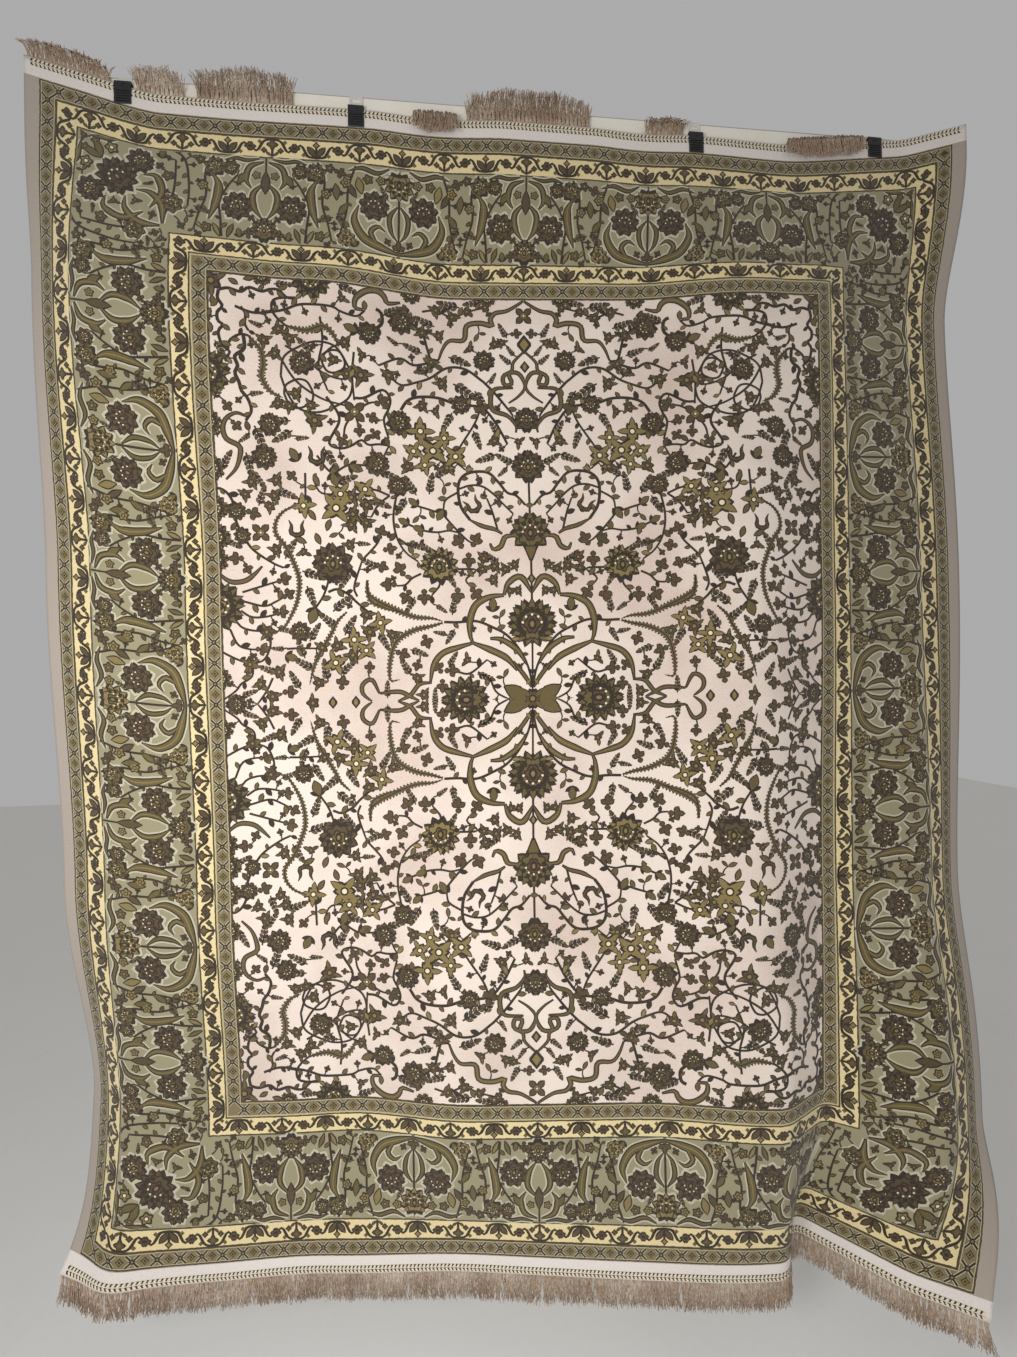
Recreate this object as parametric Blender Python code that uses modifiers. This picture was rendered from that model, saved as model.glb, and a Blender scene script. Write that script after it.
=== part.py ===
"""A hand-knotted oriental rug that hangs by four clips from a flat display rail.

Metres, +Z up, seen from -Y. The origin is the middle of the rail's left end face.
Across the rug, u runs from -RUG_WIDTH / 2 to RUG_WIDTH / 2. Up the rug, t runs from
-RUG_LENGTH / 2 at the hem to RUG_LENGTH / 2 at the top edge.
"""

import math
from typing import NamedTuple

import bmesh
import bpy
import numpy as np
from mathutils import Vector

RUG_WIDTH = 2.44
RUG_LENGTH = 3.00
RUG_THICKNESS = 0.006

RAIL_LENGTH = 2.10
RAIL_HEIGHT = 0.080
RAIL_DEPTH = 0.014
RAIL_ABOVE_RUG = 0.044

GAP = 0.0003
HOOK_WIDTH = 0.034
HOOK_THICKNESS = 0.002
HOOK_LEG = 0.030
SLOT_WIDTH = 0.022
SLOT_HEIGHT = 0.007
JAW_WIDTH = 0.040
JAW_THICKNESS = 0.003
JAW_BRIDGE = 0.006
JAW_GRIP = 0.046

STRIP_WIDTH = 0.010
STRIP_THICKNESS = 0.0016
STRIP_GAP = 0.0008
TUCK_GAP = 0.0022
LOCK_THICKNESS = 0.004
LOCK_TIP = 0.34
LOCK_SWAY = 0.0022

# Where the four clips stand across the rug, from its middle
CLIPS = (-0.990, -0.434, 0.460, 0.974)

# The rug's own frame in the world: its axis, its middle plane at the top, and its mid height
AXIS_X = RAIL_LENGTH / 2 - 0.010
JAW_BACK_Y = -(RAIL_DEPTH / 2 + HOOK_THICKNESS + 2 * GAP)
PLANE_Y = JAW_BACK_Y - JAW_THICKNESS - GAP - RUG_THICKNESS / 2
TOP_Z = RAIL_HEIGHT / 2 - RAIL_ABOVE_RUG
MIDDLE_Z = TOP_Z - RUG_LENGTH / 2

# The heights t at which the folds' turns are given, from the top edge down to the hem
HEIGHTS = (1.44, 1.00, 0.30, -0.50, -1.10, -1.50)


class Fold(NamedTuple):
    """A stretch across the rug that turns towards or away from the viewer, in degrees at HEIGHTS."""

    name: str
    start: float
    end: float
    softness: float
    turn: tuple


class Corner(NamedTuple):
    """How much an outer stretch rises for each metre across, at HEIGHTS. It starts this far out."""

    side: int
    start: float
    rise: tuple


class Sag(NamedTuple):
    """A droop of the top edge between two clips."""

    middle: float
    half_width: float
    drop: float


# A positive turn sends the cloth back towards the right, and a negative one brings it forward
FOLDS = (
    Fold("whole_rug", -2.00, 2.00, 0.05, (0, -4, -5, -5, -6, -10)),
    Fold("left_bow", -2.00, -0.45, 0.30, (0, 4, 5, 6, 7, 3)),
    Fold("right_bow", 0.45, 2.00, 0.30, (0, 5, 21, 27, 2, 10)),
    Fold("left_flap", -2.00, -1.08, 0.05, (-4, -26, -16, -20, -38, -52)),
    Fold("right_flap", 1.06, 2.00, 0.04, (-15, -8, 1, 27, 54, 13)),
    Fold("left_wave", -0.88, -0.62, 0.10, (0, 6, -2, -5, -6, 6)),
    Fold("middle_wave", -0.48, -0.22, 0.10, (0, 15, 3, -10, -12, 4)),
    Fold("right_wave", 0.32, 0.58, 0.10, (0, -11, -21, -25, -9, -3)),
    Fold("pleat_return", 0.635, 0.785, 0.035, (0, 0, 0, 0, 31, 60)),
    Fold("pleat_flap", 0.785, 2.00, 0.035, (0, 12, -11, -27, -26, -50)),
)
CORNERS = (
    Corner(-1, 0.90, (0.33, 0.24, 0.22, 0.21, 0.20, 0.06)),
    Corner(1, 0.70, (0.12, 0.09, 0.05, 0.00, -0.01, 0.05)),
)
SAGS = (
    Sag(-0.23, 0.18, 0.010),
    Sag(0.31, 0.14, 0.006),
    Sag(0.72, 0.24, 0.005),
    Sag(-0.72, 0.25, 0.003),
)
SAG_REACH = 0.45
EDGE_STEP = 0.004
CORNER_SOFTNESS = 0.10

# How far the rug's axis stands forward and sideways at HEIGHTS
AXIS_FORWARD = (0.000, -0.022, 0.003, 0.013, -0.009, -0.022)
AXIS_SIDEWAYS = (0.012, -0.001, 0.004, -0.006, -0.005, -0.003)

# The bottom left corner flares outwards, forwards and up
FLARE_START = (-0.85, -1.05)
FLARE = Vector((-0.07, -0.15, 0.05))

# Columns of the rug's mesh: each stretch's end, and the columns up to it. Rows the same way
COLUMNS = ((-1.22, 0), (-1.02, 11), (0.58, 32), (0.84, 16), (1.00, 4), (1.22, 10))
ROWS = ((-1.50, 0), (-0.90, 8), (0.90, 7), (1.44, 6), (1.50, 1))


class Run(NamedTuple):
    """One run of fringe along an end of the rug, in locks of one pose."""

    name: str
    end: int
    start: float
    stop: float
    locks: int
    pose: str


class Step(NamedTuple):
    """A joint of a lock: how far it lies before the last one, how far above it, and its fullness."""

    forward: float
    rise: float
    fullness: float


POSES = {
    "hanging": (Step(0.002, -0.082, LOCK_TIP),),
    "standing": (Step(0.006, 0.058, LOCK_TIP + 0.3),),
    "upright": (Step(0.004, 0.074, LOCK_TIP + 0.2),),
    "leaning": (Step(0.012, 0.040, LOCK_TIP + 0.3),),
    "falling": (
        Step(0.008, 0.012, 0.80),
        Step(0.008, -0.010, 0.70),
        Step(0.001, -0.048, LOCK_TIP + 0.2),
    ),
    "tucked": (Step(0.000, -0.064, LOCK_TIP + 0.2),),
}
FRINGE = (
    Run("fringe_bottom", -1, -1.215, 1.215, 132, "hanging"),
    Run("fringe_top_flap", 1, -1.215, -1.020, 12, "leaning"),
    Run("fringe_top_1", 1, -0.960, -0.850, 7, "standing"),
    Run("fringe_top_2", 1, -0.820, -0.590, 14, "upright"),
    Run("fringe_top_3", 1, -0.560, -0.465, 5, "tucked"),
    Run("fringe_top_4", 1, -0.405, -0.320, 4, "tucked"),
    Run("fringe_top_5", 1, -0.290, -0.180, 7, "falling"),
    Run("fringe_top_6", 1, -0.155, 0.170, 20, "upright"),
    Run("fringe_top_7", 1, 0.200, 0.290, 5, "tucked"),
    Run("fringe_top_8", 1, 0.320, 0.425, 7, "leaning"),
    Run("fringe_top_9", 1, 0.495, 0.690, 9, "tucked"),
    Run("fringe_top_10", 1, 0.715, 0.935, 14, "falling"),
    Run("fringe_top_11", 1, 1.010, 1.215, 12, "tucked"),
)


def smooth(x):
    """0 up to x = -1, 1 from x = 1, and a soft step between."""
    y = np.clip((np.asarray(x, float) + 1) / 2, 0, 1)
    return y * y * (3 - 2 * y)


def at_height(values, t):
    """The value at height t, eased between those given at HEIGHTS."""
    t = np.clip(t, HEIGHTS[-1], HEIGHTS[0])
    upper = next(i for i in range(len(HEIGHTS) - 1) if t >= HEIGHTS[i + 1])
    share = (HEIGHTS[upper] - t) / (HEIGHTS[upper] - HEIGHTS[upper + 1])
    eased = float(smooth(2 * share - 1))
    return values[upper] * (1 - eased) + values[upper + 1] * eased


def turn_across(u, t):
    """The cloth's direction in plan, in radians, at each place u of the height t."""
    turn = np.zeros_like(u)
    for fold in FOLDS:
        inside = smooth((u - fold.start) / fold.softness) * smooth((fold.end - u) / fold.softness)
        turn += at_height(fold.turn, t) * inside
    return np.radians(turn)


FINE_U = np.linspace(-RUG_WIDTH / 2, RUG_WIDTH / 2, 611)


def along(speed):
    """The running sum of a speed across the rug, zero at its middle."""
    steps = (speed[1:] + speed[:-1]) / 2 * (FINE_U[1] - FINE_U[0])
    total = np.concatenate([[0.0], np.cumsum(steps)])
    return total - np.interp(0.0, FINE_U, total)


def cloth_point(u, t):
    """The middle of the cloth's thickness at (u, t). Past an end, the cloth goes on straight."""
    inside = max(-RUG_LENGTH / 2, min(RUG_LENGTH / 2, t))
    if t != inside:
        last = cloth_point(u, inside)
        step = math.copysign(EDGE_STEP, t)
        return last + (last - cloth_point(u, inside - step)) * ((t - inside) / step)
    key = round(inside, 6)
    if key not in cloth_point.rows:
        turn = turn_across(FINE_U, inside)
        cloth_point.rows[key] = (along(np.cos(turn)), along(np.sin(turn)))
    across, back = cloth_point.rows[key]
    x = np.interp(u, FINE_U, across) + at_height(AXIS_SIDEWAYS, inside)
    y = np.interp(u, FINE_U, back) - at_height(AXIS_FORWARD, inside)
    z = inside
    for corner in CORNERS:
        out = max(0.0, corner.side * u - corner.start)
        z += at_height(corner.rise, inside) * out**2 / (out + CORNER_SOFTNESS)
    for sag in SAGS:
        width = max(0.0, 1 - ((u - sag.middle) / sag.half_width) ** 2)
        z -= sag.drop * width**2 * max(0.0, 1 - (RUG_LENGTH / 2 - inside) / SAG_REACH)
    aside = max(0.0, (FLARE_START[0] - u) / (RUG_WIDTH / 2 + FLARE_START[0])) ** 2
    below = max(0.0, (FLARE_START[1] - inside) / (RUG_LENGTH / 2 + FLARE_START[1])) ** 2
    point = Vector((x, y, z)) + FLARE * aside * below
    return point + Vector((AXIS_X, PLANE_Y, MIDDLE_Z))


cloth_point.rows = {}


def cloth_normal(u, t):
    """The direction straight out of the pile at (u, t), towards the viewer."""
    step = EDGE_STEP
    inside = max(-RUG_LENGTH / 2 + step, min(RUG_LENGTH / 2 - step, t))
    reach = RUG_WIDTH / 2
    across = cloth_point(min(reach, u + step), inside) - cloth_point(max(-reach, u - step), inside)
    upwards = cloth_point(u, inside + step) - cloth_point(u, inside - step)
    return across.cross(upwards).normalized()


def material(name, colour, roughness, metallic=0.0):
    """A plain finish of one colour."""
    finish = bpy.data.materials.new(name)
    finish.use_nodes = True
    shader = finish.node_tree.nodes["Principled BSDF"]
    shader.inputs["Base Color"].default_value = (*colour, 1.0)
    shader.inputs["Roughness"].default_value = roughness
    shader.inputs["Metallic"].default_value = metallic
    return finish


def add_object(name, mesh_data, finish, collection):
    """A named object with one material in the rug's collection."""
    piece = bpy.data.objects.new(name, mesh_data)
    mesh_data.materials.append(finish)
    collection.objects.link(piece)
    return piece


def mesh_from(name, shape):
    """A mesh made from a bmesh whose faces point outwards."""
    bmesh.ops.recalc_face_normals(shape, faces=shape.faces)
    data = bpy.data.meshes.new(name)
    shape.to_mesh(data)
    shape.free()
    return data


def add_box(name, size, centre, bevel, finish, collection):
    """A box with rounded edges."""
    shape = bmesh.new()
    bmesh.ops.create_cube(shape, size=1.0)
    bmesh.ops.scale(shape, vec=Vector(size), verts=shape.verts)
    piece = add_object(name, mesh_from(name, shape), finish, collection)
    piece.location = centre
    rounding = piece.modifiers.new("Rounding", "BEVEL")
    rounding.width = bevel
    rounding.segments = 2
    return piece


def stations(stretches):
    """The evenly spaced places of a mesh's columns or rows."""
    places = [stretches[0][0]]
    for (start, _), (end, count) in zip(stretches, stretches[1:]):
        places += [start + (end - start) * (i + 1) / count for i in range(count)]
    return places


def block(columns, rows):
    """A closed block of so many columns and rows, one layer deep. Its points run from 0 to 1."""
    shape = bmesh.new()
    bmesh.ops.create_grid(shape, x_segments=columns, y_segments=rows, size=0.5)
    drawn = bmesh.ops.extrude_face_region(shape, geom=shape.faces[:])
    raised = [item for item in drawn["geom"] if isinstance(item, bmesh.types.BMVert)]
    bmesh.ops.translate(shape, vec=Vector((0, 0, 1)), verts=raised)
    bmesh.ops.translate(shape, vec=Vector((0.5, 0.5, 0)), verts=shape.verts)
    bmesh.ops.recalc_face_normals(shape, faces=shape.faces)
    return shape


def add_rug(finish, collection):
    """The rug as one sheet on its folds, with its thickness on both sides of them."""
    columns = stations(COLUMNS)
    rows = stations(ROWS)
    shape = block(len(columns) - 1, len(rows) - 1)
    for vertex in shape.verts:
        u = columns[round(vertex.co.x * (len(columns) - 1))]
        t = rows[round(vertex.co.y * (len(rows) - 1))]
        depth = RUG_THICKNESS * (vertex.co.z - 0.5)
        vertex.co = cloth_point(u, t) + cloth_normal(u, t) * depth
    return add_object("rug", mesh_from("rug", shape), finish, collection)


def on_rug_mesh(function, u, t):
    """A function of (u, t) as the rug's mesh has it, straight from column to column."""
    columns = stations(COLUMNS)
    after = min(len(columns) - 1, max(1, int(np.searchsorted(columns, u))))
    start, end = columns[after - 1], columns[after]
    return function(start, t).lerp(function(end, t), (u - start) / (end - start))


def strip_mesh(run):
    """A narrow strip along the rug's end, as a block whose free edge has one face for each lock."""
    shape = block(run.locks, 1)
    free = [face for face in shape.faces if all(v.co.y > 0.5 for v in face.verts)]
    free.sort(key=lambda face: face.calc_center_median().x)
    edge = run.end * RUG_LENGTH / 2
    for vertex in shape.verts:
        u = run.start + (run.stop - run.start) * vertex.co.x
        away = STRIP_GAP + STRIP_WIDTH * vertex.co.y
        depth = STRIP_THICKNESS * (vertex.co.z - 0.5)
        if run.pose == "tucked":
            away = -2 * STRIP_GAP - STRIP_WIDTH * vertex.co.y
            depth -= (RUG_THICKNESS + STRIP_THICKNESS) / 2 + TUCK_GAP
        point = on_rug_mesh(cloth_point, u, edge + run.end * away)
        vertex.co = point + on_rug_mesh(cloth_normal, u, edge) * depth
    return shape, free


def front_at_joint(step, after, forward, end):
    """Which way a lock's front faces at a joint, square to the way that it goes there."""
    ahead = Vector((step.forward, step.rise)).normalized()
    ahead += Vector((after.forward, after.rise)).normalized()
    ahead.normalize()
    return (forward * ahead.y - Vector((0, 0, ahead.x))) * end


def grow_lock(shape, face, index, run):
    """Draws one lock out of a face of the strip, joint by joint."""
    u = run.start + (run.stop - run.start) * (index + 0.5) / run.locks
    outward = cloth_normal(u, run.end * RUG_LENGTH / 2)
    forward = Vector((outward.x, outward.y, 0)).normalized()
    sideways = forward.cross(Vector((0, 0, 1)))
    reach = 1 + 0.10 * math.sin(2.4 * index) + 0.05 * math.sin(0.7 * index)
    steps = POSES[run.pose]
    front = forward
    for step, after in zip(steps, steps[1:] + steps[-1:]):
        last = [vertex.co.copy() for vertex in face.verts]
        middle = sum(last, Vector()) / len(last)
        drawn = bmesh.ops.extrude_discrete_faces(shape, faces=[face])
        face = drawn["faces"][0]
        sway = LOCK_SWAY / len(steps) * math.sin(1.7 * index + run.locks)
        move = forward * step.forward + Vector((0, 0, step.rise * reach)) + sideways * sway
        width = (run.stop - run.start) / run.locks * step.fullness
        thickness = LOCK_THICKNESS * min(1.0, step.fullness + 0.2)
        next_front = front_at_joint(step, after, forward, run.end)
        if run.pose == "tucked":
            next_front = forward
            thickness = STRIP_THICKNESS
            root = RUG_LENGTH / 2 - STRIP_WIDTH
            move = cloth_point(u, root + step.rise) - cloth_point(u, root)
        for vertex, start in zip(face.verts, last):
            side = math.copysign(width / 2, (start - middle).dot(sideways))
            depth = math.copysign(thickness / 2, (start - middle).dot(front))
            vertex.co = middle + move + sideways * side + next_front * depth
        front = next_front


def add_fringe(run, finish, collection):
    """One run of fringe: its strip, and the locks that grow out of it."""
    shape, free = strip_mesh(run)
    for index, face in enumerate(free):
        grow_lock(shape, face, index, run)
    return add_object(run.name, mesh_from(run.name, shape), finish, collection)


def add_strap(name, outline, width, centre_x, bevel, finish, collection):
    """A bent strap: an outline in Y and Z, drawn out to its width along X."""
    shape = bmesh.new()
    points = [shape.verts.new((-width / 2, y, z)) for y, z in outline]
    side = shape.faces.new(points)
    drawn = bmesh.ops.extrude_face_region(shape, geom=[side])
    moved = [item for item in drawn["geom"] if isinstance(item, bmesh.types.BMVert)]
    bmesh.ops.translate(shape, vec=Vector((width, 0, 0)), verts=moved)
    piece = add_object(name, mesh_from(name, shape), finish, collection)
    piece.location.x = centre_x
    rounding = piece.modifiers.new("Rounding", "BEVEL")
    rounding.width = bevel
    rounding.segments = 1
    return piece


def arch(front, back, top, thickness, front_foot, back_foot):
    """The outline of an upside-down U: the inner faces front and back, the inner top, and its feet."""
    return (
        (front - thickness, front_foot),
        (front, front_foot),
        (front, top),
        (back, top),
        (back, back_foot),
        (back + thickness, back_foot),
        (back + thickness, top + thickness),
        (front - thickness, top + thickness),
    )


def add_clip(number, u, metal, plastic, collection, cutters):
    """A clip: a metal hook over the rail, and a plastic jaw over the rug's edge before it."""
    edge = cloth_point(u, RUG_LENGTH / 2)
    face = RAIL_DEPTH / 2 + GAP
    rail_top = RAIL_HEIGHT / 2 + GAP
    hook_outline = arch(-face, face, rail_top, HOOK_THICKNESS, edge.z, rail_top - HOOK_LEG)
    hook = add_strap(
        f"clip_{number}_hook", hook_outline, HOOK_WIDTH, edge.x, 0.0004, metal, collection
    )
    cutter = add_box(
        f"clip_{number}_slot",
        (SLOT_WIDTH, 3 * HOOK_THICKNESS, SLOT_HEIGHT),
        (edge.x, -face - HOOK_THICKNESS / 2, rail_top - 2 * SLOT_HEIGHT),
        0.001,
        metal,
        cutters,
    )
    cutter.hide_render = True
    cutter.display_type = "WIRE"
    slot = hook.modifiers.new("Slot", "BOOLEAN")
    slot.operation = "DIFFERENCE"
    slot.object = cutter
    room = RUG_THICKNESS / 2 + GAP
    jaw_outline = arch(
        edge.y - room,
        edge.y + room,
        edge.z + JAW_BRIDGE,
        JAW_THICKNESS,
        edge.z - JAW_GRIP,
        edge.z - JAW_GRIP,
    )
    add_strap(f"clip_{number}_jaw", jaw_outline, JAW_WIDTH, edge.x, 0.0008, plastic, collection)


def main():
    """Builds the rail, the clips, the rug and its fringe."""
    for old in list(bpy.data.objects):
        bpy.data.objects.remove(old, do_unlink=True)
    collection = bpy.data.collections.new("oriental_rug")
    cutters = bpy.data.collections.new("cutters")
    bpy.context.scene.collection.children.link(collection)
    bpy.context.scene.collection.children.link(cutters)

    rail_paint = material("rail_paint", (0.80, 0.77, 0.71), 0.45)
    clip_metal = material("clip_metal", (0.62, 0.62, 0.60), 0.30, 1.0)
    clip_plastic = material("clip_plastic", (0.03, 0.03, 0.04), 0.55)
    pile = material("pile", (0.38, 0.34, 0.24), 0.90)
    yarn = material("fringe_yarn", (0.52, 0.45, 0.36), 0.92)

    rail_size = (RAIL_LENGTH, RAIL_DEPTH, RAIL_HEIGHT)
    add_box("rail", rail_size, (RAIL_LENGTH / 2, 0, 0), 0.0015, rail_paint, collection)
    for number, u in enumerate(CLIPS, start=1):
        add_clip(number, u, clip_metal, clip_plastic, collection, cutters)
    add_rug(pile, collection)
    for run in FRINGE:
        add_fringe(run, yarn, collection)


if __name__ == "__main__":
    main()
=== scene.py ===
"""Looks of an oriental rug that hangs by four clips from a flat display rail.

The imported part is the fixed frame. Metres, +Z up, seen from -Y. The rug's own places are u
across and t up from its middle. Its design is drawn flat in centimetres by Pen, one quarter or
one repeat at a time, mirrored or repeated, and then laid on the hanging cloth by Drape.
"""

from __future__ import annotations

import logging
import math
from collections.abc import Callable, Iterable, Sequence
from dataclasses import dataclass, field
from enum import Enum
from functools import lru_cache
from typing import NamedTuple

import bmesh
import bpy
import numpy as np
from mathutils import Matrix, Vector
from mathutils.kdtree import KDTree

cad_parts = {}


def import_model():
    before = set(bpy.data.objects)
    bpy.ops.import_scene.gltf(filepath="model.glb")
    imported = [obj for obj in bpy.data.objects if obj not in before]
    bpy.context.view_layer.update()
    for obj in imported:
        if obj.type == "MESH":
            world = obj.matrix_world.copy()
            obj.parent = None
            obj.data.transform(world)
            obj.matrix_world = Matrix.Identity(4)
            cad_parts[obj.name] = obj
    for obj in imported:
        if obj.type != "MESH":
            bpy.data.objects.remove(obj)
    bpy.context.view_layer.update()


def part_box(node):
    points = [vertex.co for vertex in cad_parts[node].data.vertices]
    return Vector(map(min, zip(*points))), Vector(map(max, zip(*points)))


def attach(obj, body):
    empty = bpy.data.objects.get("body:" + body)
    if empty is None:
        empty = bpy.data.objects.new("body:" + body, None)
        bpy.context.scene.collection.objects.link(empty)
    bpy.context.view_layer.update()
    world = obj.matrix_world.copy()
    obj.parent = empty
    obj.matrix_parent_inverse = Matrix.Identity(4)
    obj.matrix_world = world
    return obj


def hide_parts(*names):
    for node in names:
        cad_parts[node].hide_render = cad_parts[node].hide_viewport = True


LOG = logging.getLogger("oriental_rug")
CM = 0.01
# Metres of the flat rug in one unit of its UV map
UV_SPAN = 3.0
# How fine the tufts of the pile are in that map
TUFT_SCALE = 620.0
# Half the width at which the fringe ends
FRINGE_EDGE = 1.218

Span = tuple[float, float]
Points = Sequence[tuple[float, float]]
Faces = tuple[tuple[int, ...], ...]
Move = Callable[[np.ndarray], np.ndarray]


class Tone(Enum):
    """The wool colours that the design is drawn in."""

    DARK = "umber_wool"
    OLIVE = "olive_wool"
    GOLD = "gold_wool"
    SAGE = "sage_wool"
    IVORY = "ivory_wool"
    BROWN = "brown_wool"
    WINE = "wine_wool"


# How high each wool stands over the cloth, in millimetres
LEVELS = {
    Tone.SAGE: 0.35,
    Tone.DARK: 0.50,
    Tone.OLIVE: 0.70,
    Tone.BROWN: 0.80,
    Tone.GOLD: 0.90,
    Tone.WINE: 1.05,
    Tone.IVORY: 1.20,
}


class Sock:
    """One output of a shader node, with arithmetic that adds Math nodes."""

    def __init__(self, tree: "Shading", socket: bpy.types.NodeSocket) -> None:
        """Keeps the tree and the socket."""
        self.tree = tree
        self.socket = socket

    def _math(self, operation: str, first: object, second: object = 0.0) -> "Sock":
        """Adds a Math node and gives its value."""
        return self.tree.node("ShaderNodeMath", {"operation": operation}, {0: first, 1: second})

    def __add__(self, other: object) -> "Sock":
        """Sum."""
        return self._math("ADD", self, other)

    def __radd__(self, other: object) -> "Sock":
        """Sum, from the right."""
        return self._math("ADD", other, self)

    def __sub__(self, other: object) -> "Sock":
        """Difference."""
        return self._math("SUBTRACT", self, other)

    def __rsub__(self, other: object) -> "Sock":
        """Difference, from the right."""
        return self._math("SUBTRACT", other, self)

    def __mul__(self, other: object) -> "Sock":
        """Product."""
        return self._math("MULTIPLY", self, other)

    def __rmul__(self, other: object) -> "Sock":
        """Product, from the right."""
        return self._math("MULTIPLY", other, self)

    def absolute(self) -> "Sock":
        """The value without its sign."""
        return self._math("ABSOLUTE", self)

    def least(self, other: object) -> "Sock":
        """The smaller of two values."""
        return self._math("MINIMUM", self, other)

    def over(self, other: object) -> "Sock":
        """1 where the value is over the other, else 0."""
        return self._math("GREATER_THAN", self, other)

    def wave(self) -> "Sock":
        """The sine of the value."""
        return self._math("SINE", self)

    def clamped(self) -> "Sock":
        """The value kept between 0 and 1."""
        return self.tree.node("ShaderNodeClamp", {}, {"Value": self})


class Shading:
    """Builds one material's nodes."""

    def __init__(self, name: str) -> None:
        """Starts a material with a plain Principled shader."""
        self.material = bpy.data.materials.new(name)
        self.material.use_nodes = True
        self.nodes = self.material.node_tree.nodes
        self.links = self.material.node_tree.links
        self.shader = self.nodes["Principled BSDF"]

    def node(
        self,
        kind: str,
        settings: dict[str, object],
        values: dict[int | str, object],
        output: int | str = 0,
    ) -> Sock:
        """Adds a node.

        Args:
            kind: the node's type.
            settings: attributes that are set first.
            values: a number, colour or Sock for each input.
            output: which output is given back.

        Returns:
            The chosen output.
        """
        made = self.nodes.new(kind)
        for key, value in settings.items():
            if key == "stops":
                self._stops(made.color_ramp, value)
            else:
                setattr(made, key, value)
        for key, value in values.items():
            if isinstance(value, Sock):
                self.links.new(value.socket, made.inputs[key])
            else:
                made.inputs[key].default_value = value
        return Sock(self, made.outputs[output])

    @staticmethod
    def _stops(ramp: bpy.types.ColorRamp, stops: Sequence[tuple[float, tuple]]) -> None:
        """Sets a ramp's stops.

        Args:
            ramp: the ramp.
            stops: each stop's place and colour.
        """
        ramp.interpolation = "CONSTANT"
        while len(ramp.elements) > 1:
            ramp.elements.remove(ramp.elements[-1])
        ramp.elements[0].position = stops[0][0]
        ramp.elements[0].color = (*stops[0][1], 1.0)
        for place, colour in stops[1:]:
            element = ramp.elements.new(place)
            element.color = (*colour, 1.0)

    def feed(self, name: str, value: object) -> None:
        """Sets or links an input of the Principled shader.

        Args:
            name: the input.
            value: a number, a colour or a Sock.
        """
        if isinstance(value, Sock):
            self.links.new(value.socket, self.shader.inputs[name])
        else:
            self.shader.inputs[name].default_value = value

    def mix(self, share: object, first: object, second: object) -> Sock:
        """A mix of two colours.

        Args:
            share: how much of the second one there is.
            first: a colour or a Sock.
            second: a colour or a Sock.

        Returns:
            The mixed colour.
        """
        made = self.nodes.new("ShaderNodeMix")
        made.data_type = "RGBA"
        for key, value in ((0, share), (6, first), (7, second)):
            if isinstance(value, Sock):
                self.links.new(value.socket, made.inputs[key])
            else:
                made.inputs[key].default_value = value if key == 0 else (*value, 1.0)
        return Sock(self, made.outputs[2])

    def noise(self, place: Sock, scale: float, detail: float) -> Sock:
        """Soft noise, about 0.5."""
        values = {"Vector": place, "Scale": scale, "Detail": detail}
        return self.node("ShaderNodeTexNoise", {}, values)

    def relief(self, height: Sock, strength: float, distance: float) -> None:
        """Gives the surface a fine relief by a bump."""
        bump = {"Height": height, "Strength": strength, "Distance": distance}
        self.feed("Normal", self.node("ShaderNodeBump", {}, bump))

    def pile(self, tuft: Sock, roughness: float) -> None:
        """Gives the surface the soft sheen and the relief of cut wool.

        Args:
            tuft: the height of the tufts.
            roughness: how matt the wool is.
        """
        self.feed("Roughness", roughness)
        self.feed("Sheen Weight", 0.15)
        self.feed("Sheen Roughness", 0.6)
        self.relief(tuft, 0.5, 0.0015)


def linear(colour: str) -> tuple[float, float, float]:
    """A hex sRGB colour as linear numbers."""
    parts = [int(colour[i : i + 2], 16) / 255 for i in (1, 3, 5)]
    return tuple(p / 12.92 if p <= 0.04045 else ((p + 0.055) / 1.055) ** 2.4 for p in parts)


class Fold(NamedTuple):
    """A stretch across the rug that turns, in degrees at Drape.heights."""

    start: float
    end: float
    softness: float
    turn: tuple[float, ...]


class Corner(NamedTuple):
    """How much an outer stretch rises for each metre across."""

    side: int
    start: float
    rise: tuple[float, ...]


class Sag(NamedTuple):
    """A droop of the top edge between two clips."""

    middle: float
    half_width: float
    drop: float


def smooth(x: np.ndarray) -> np.ndarray:
    """0 up to x = -1, 1 from x = 1, and a soft step between."""
    y = np.clip((x + 1) / 2, 0, 1)
    return y * y * (3 - 2 * y)


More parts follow.
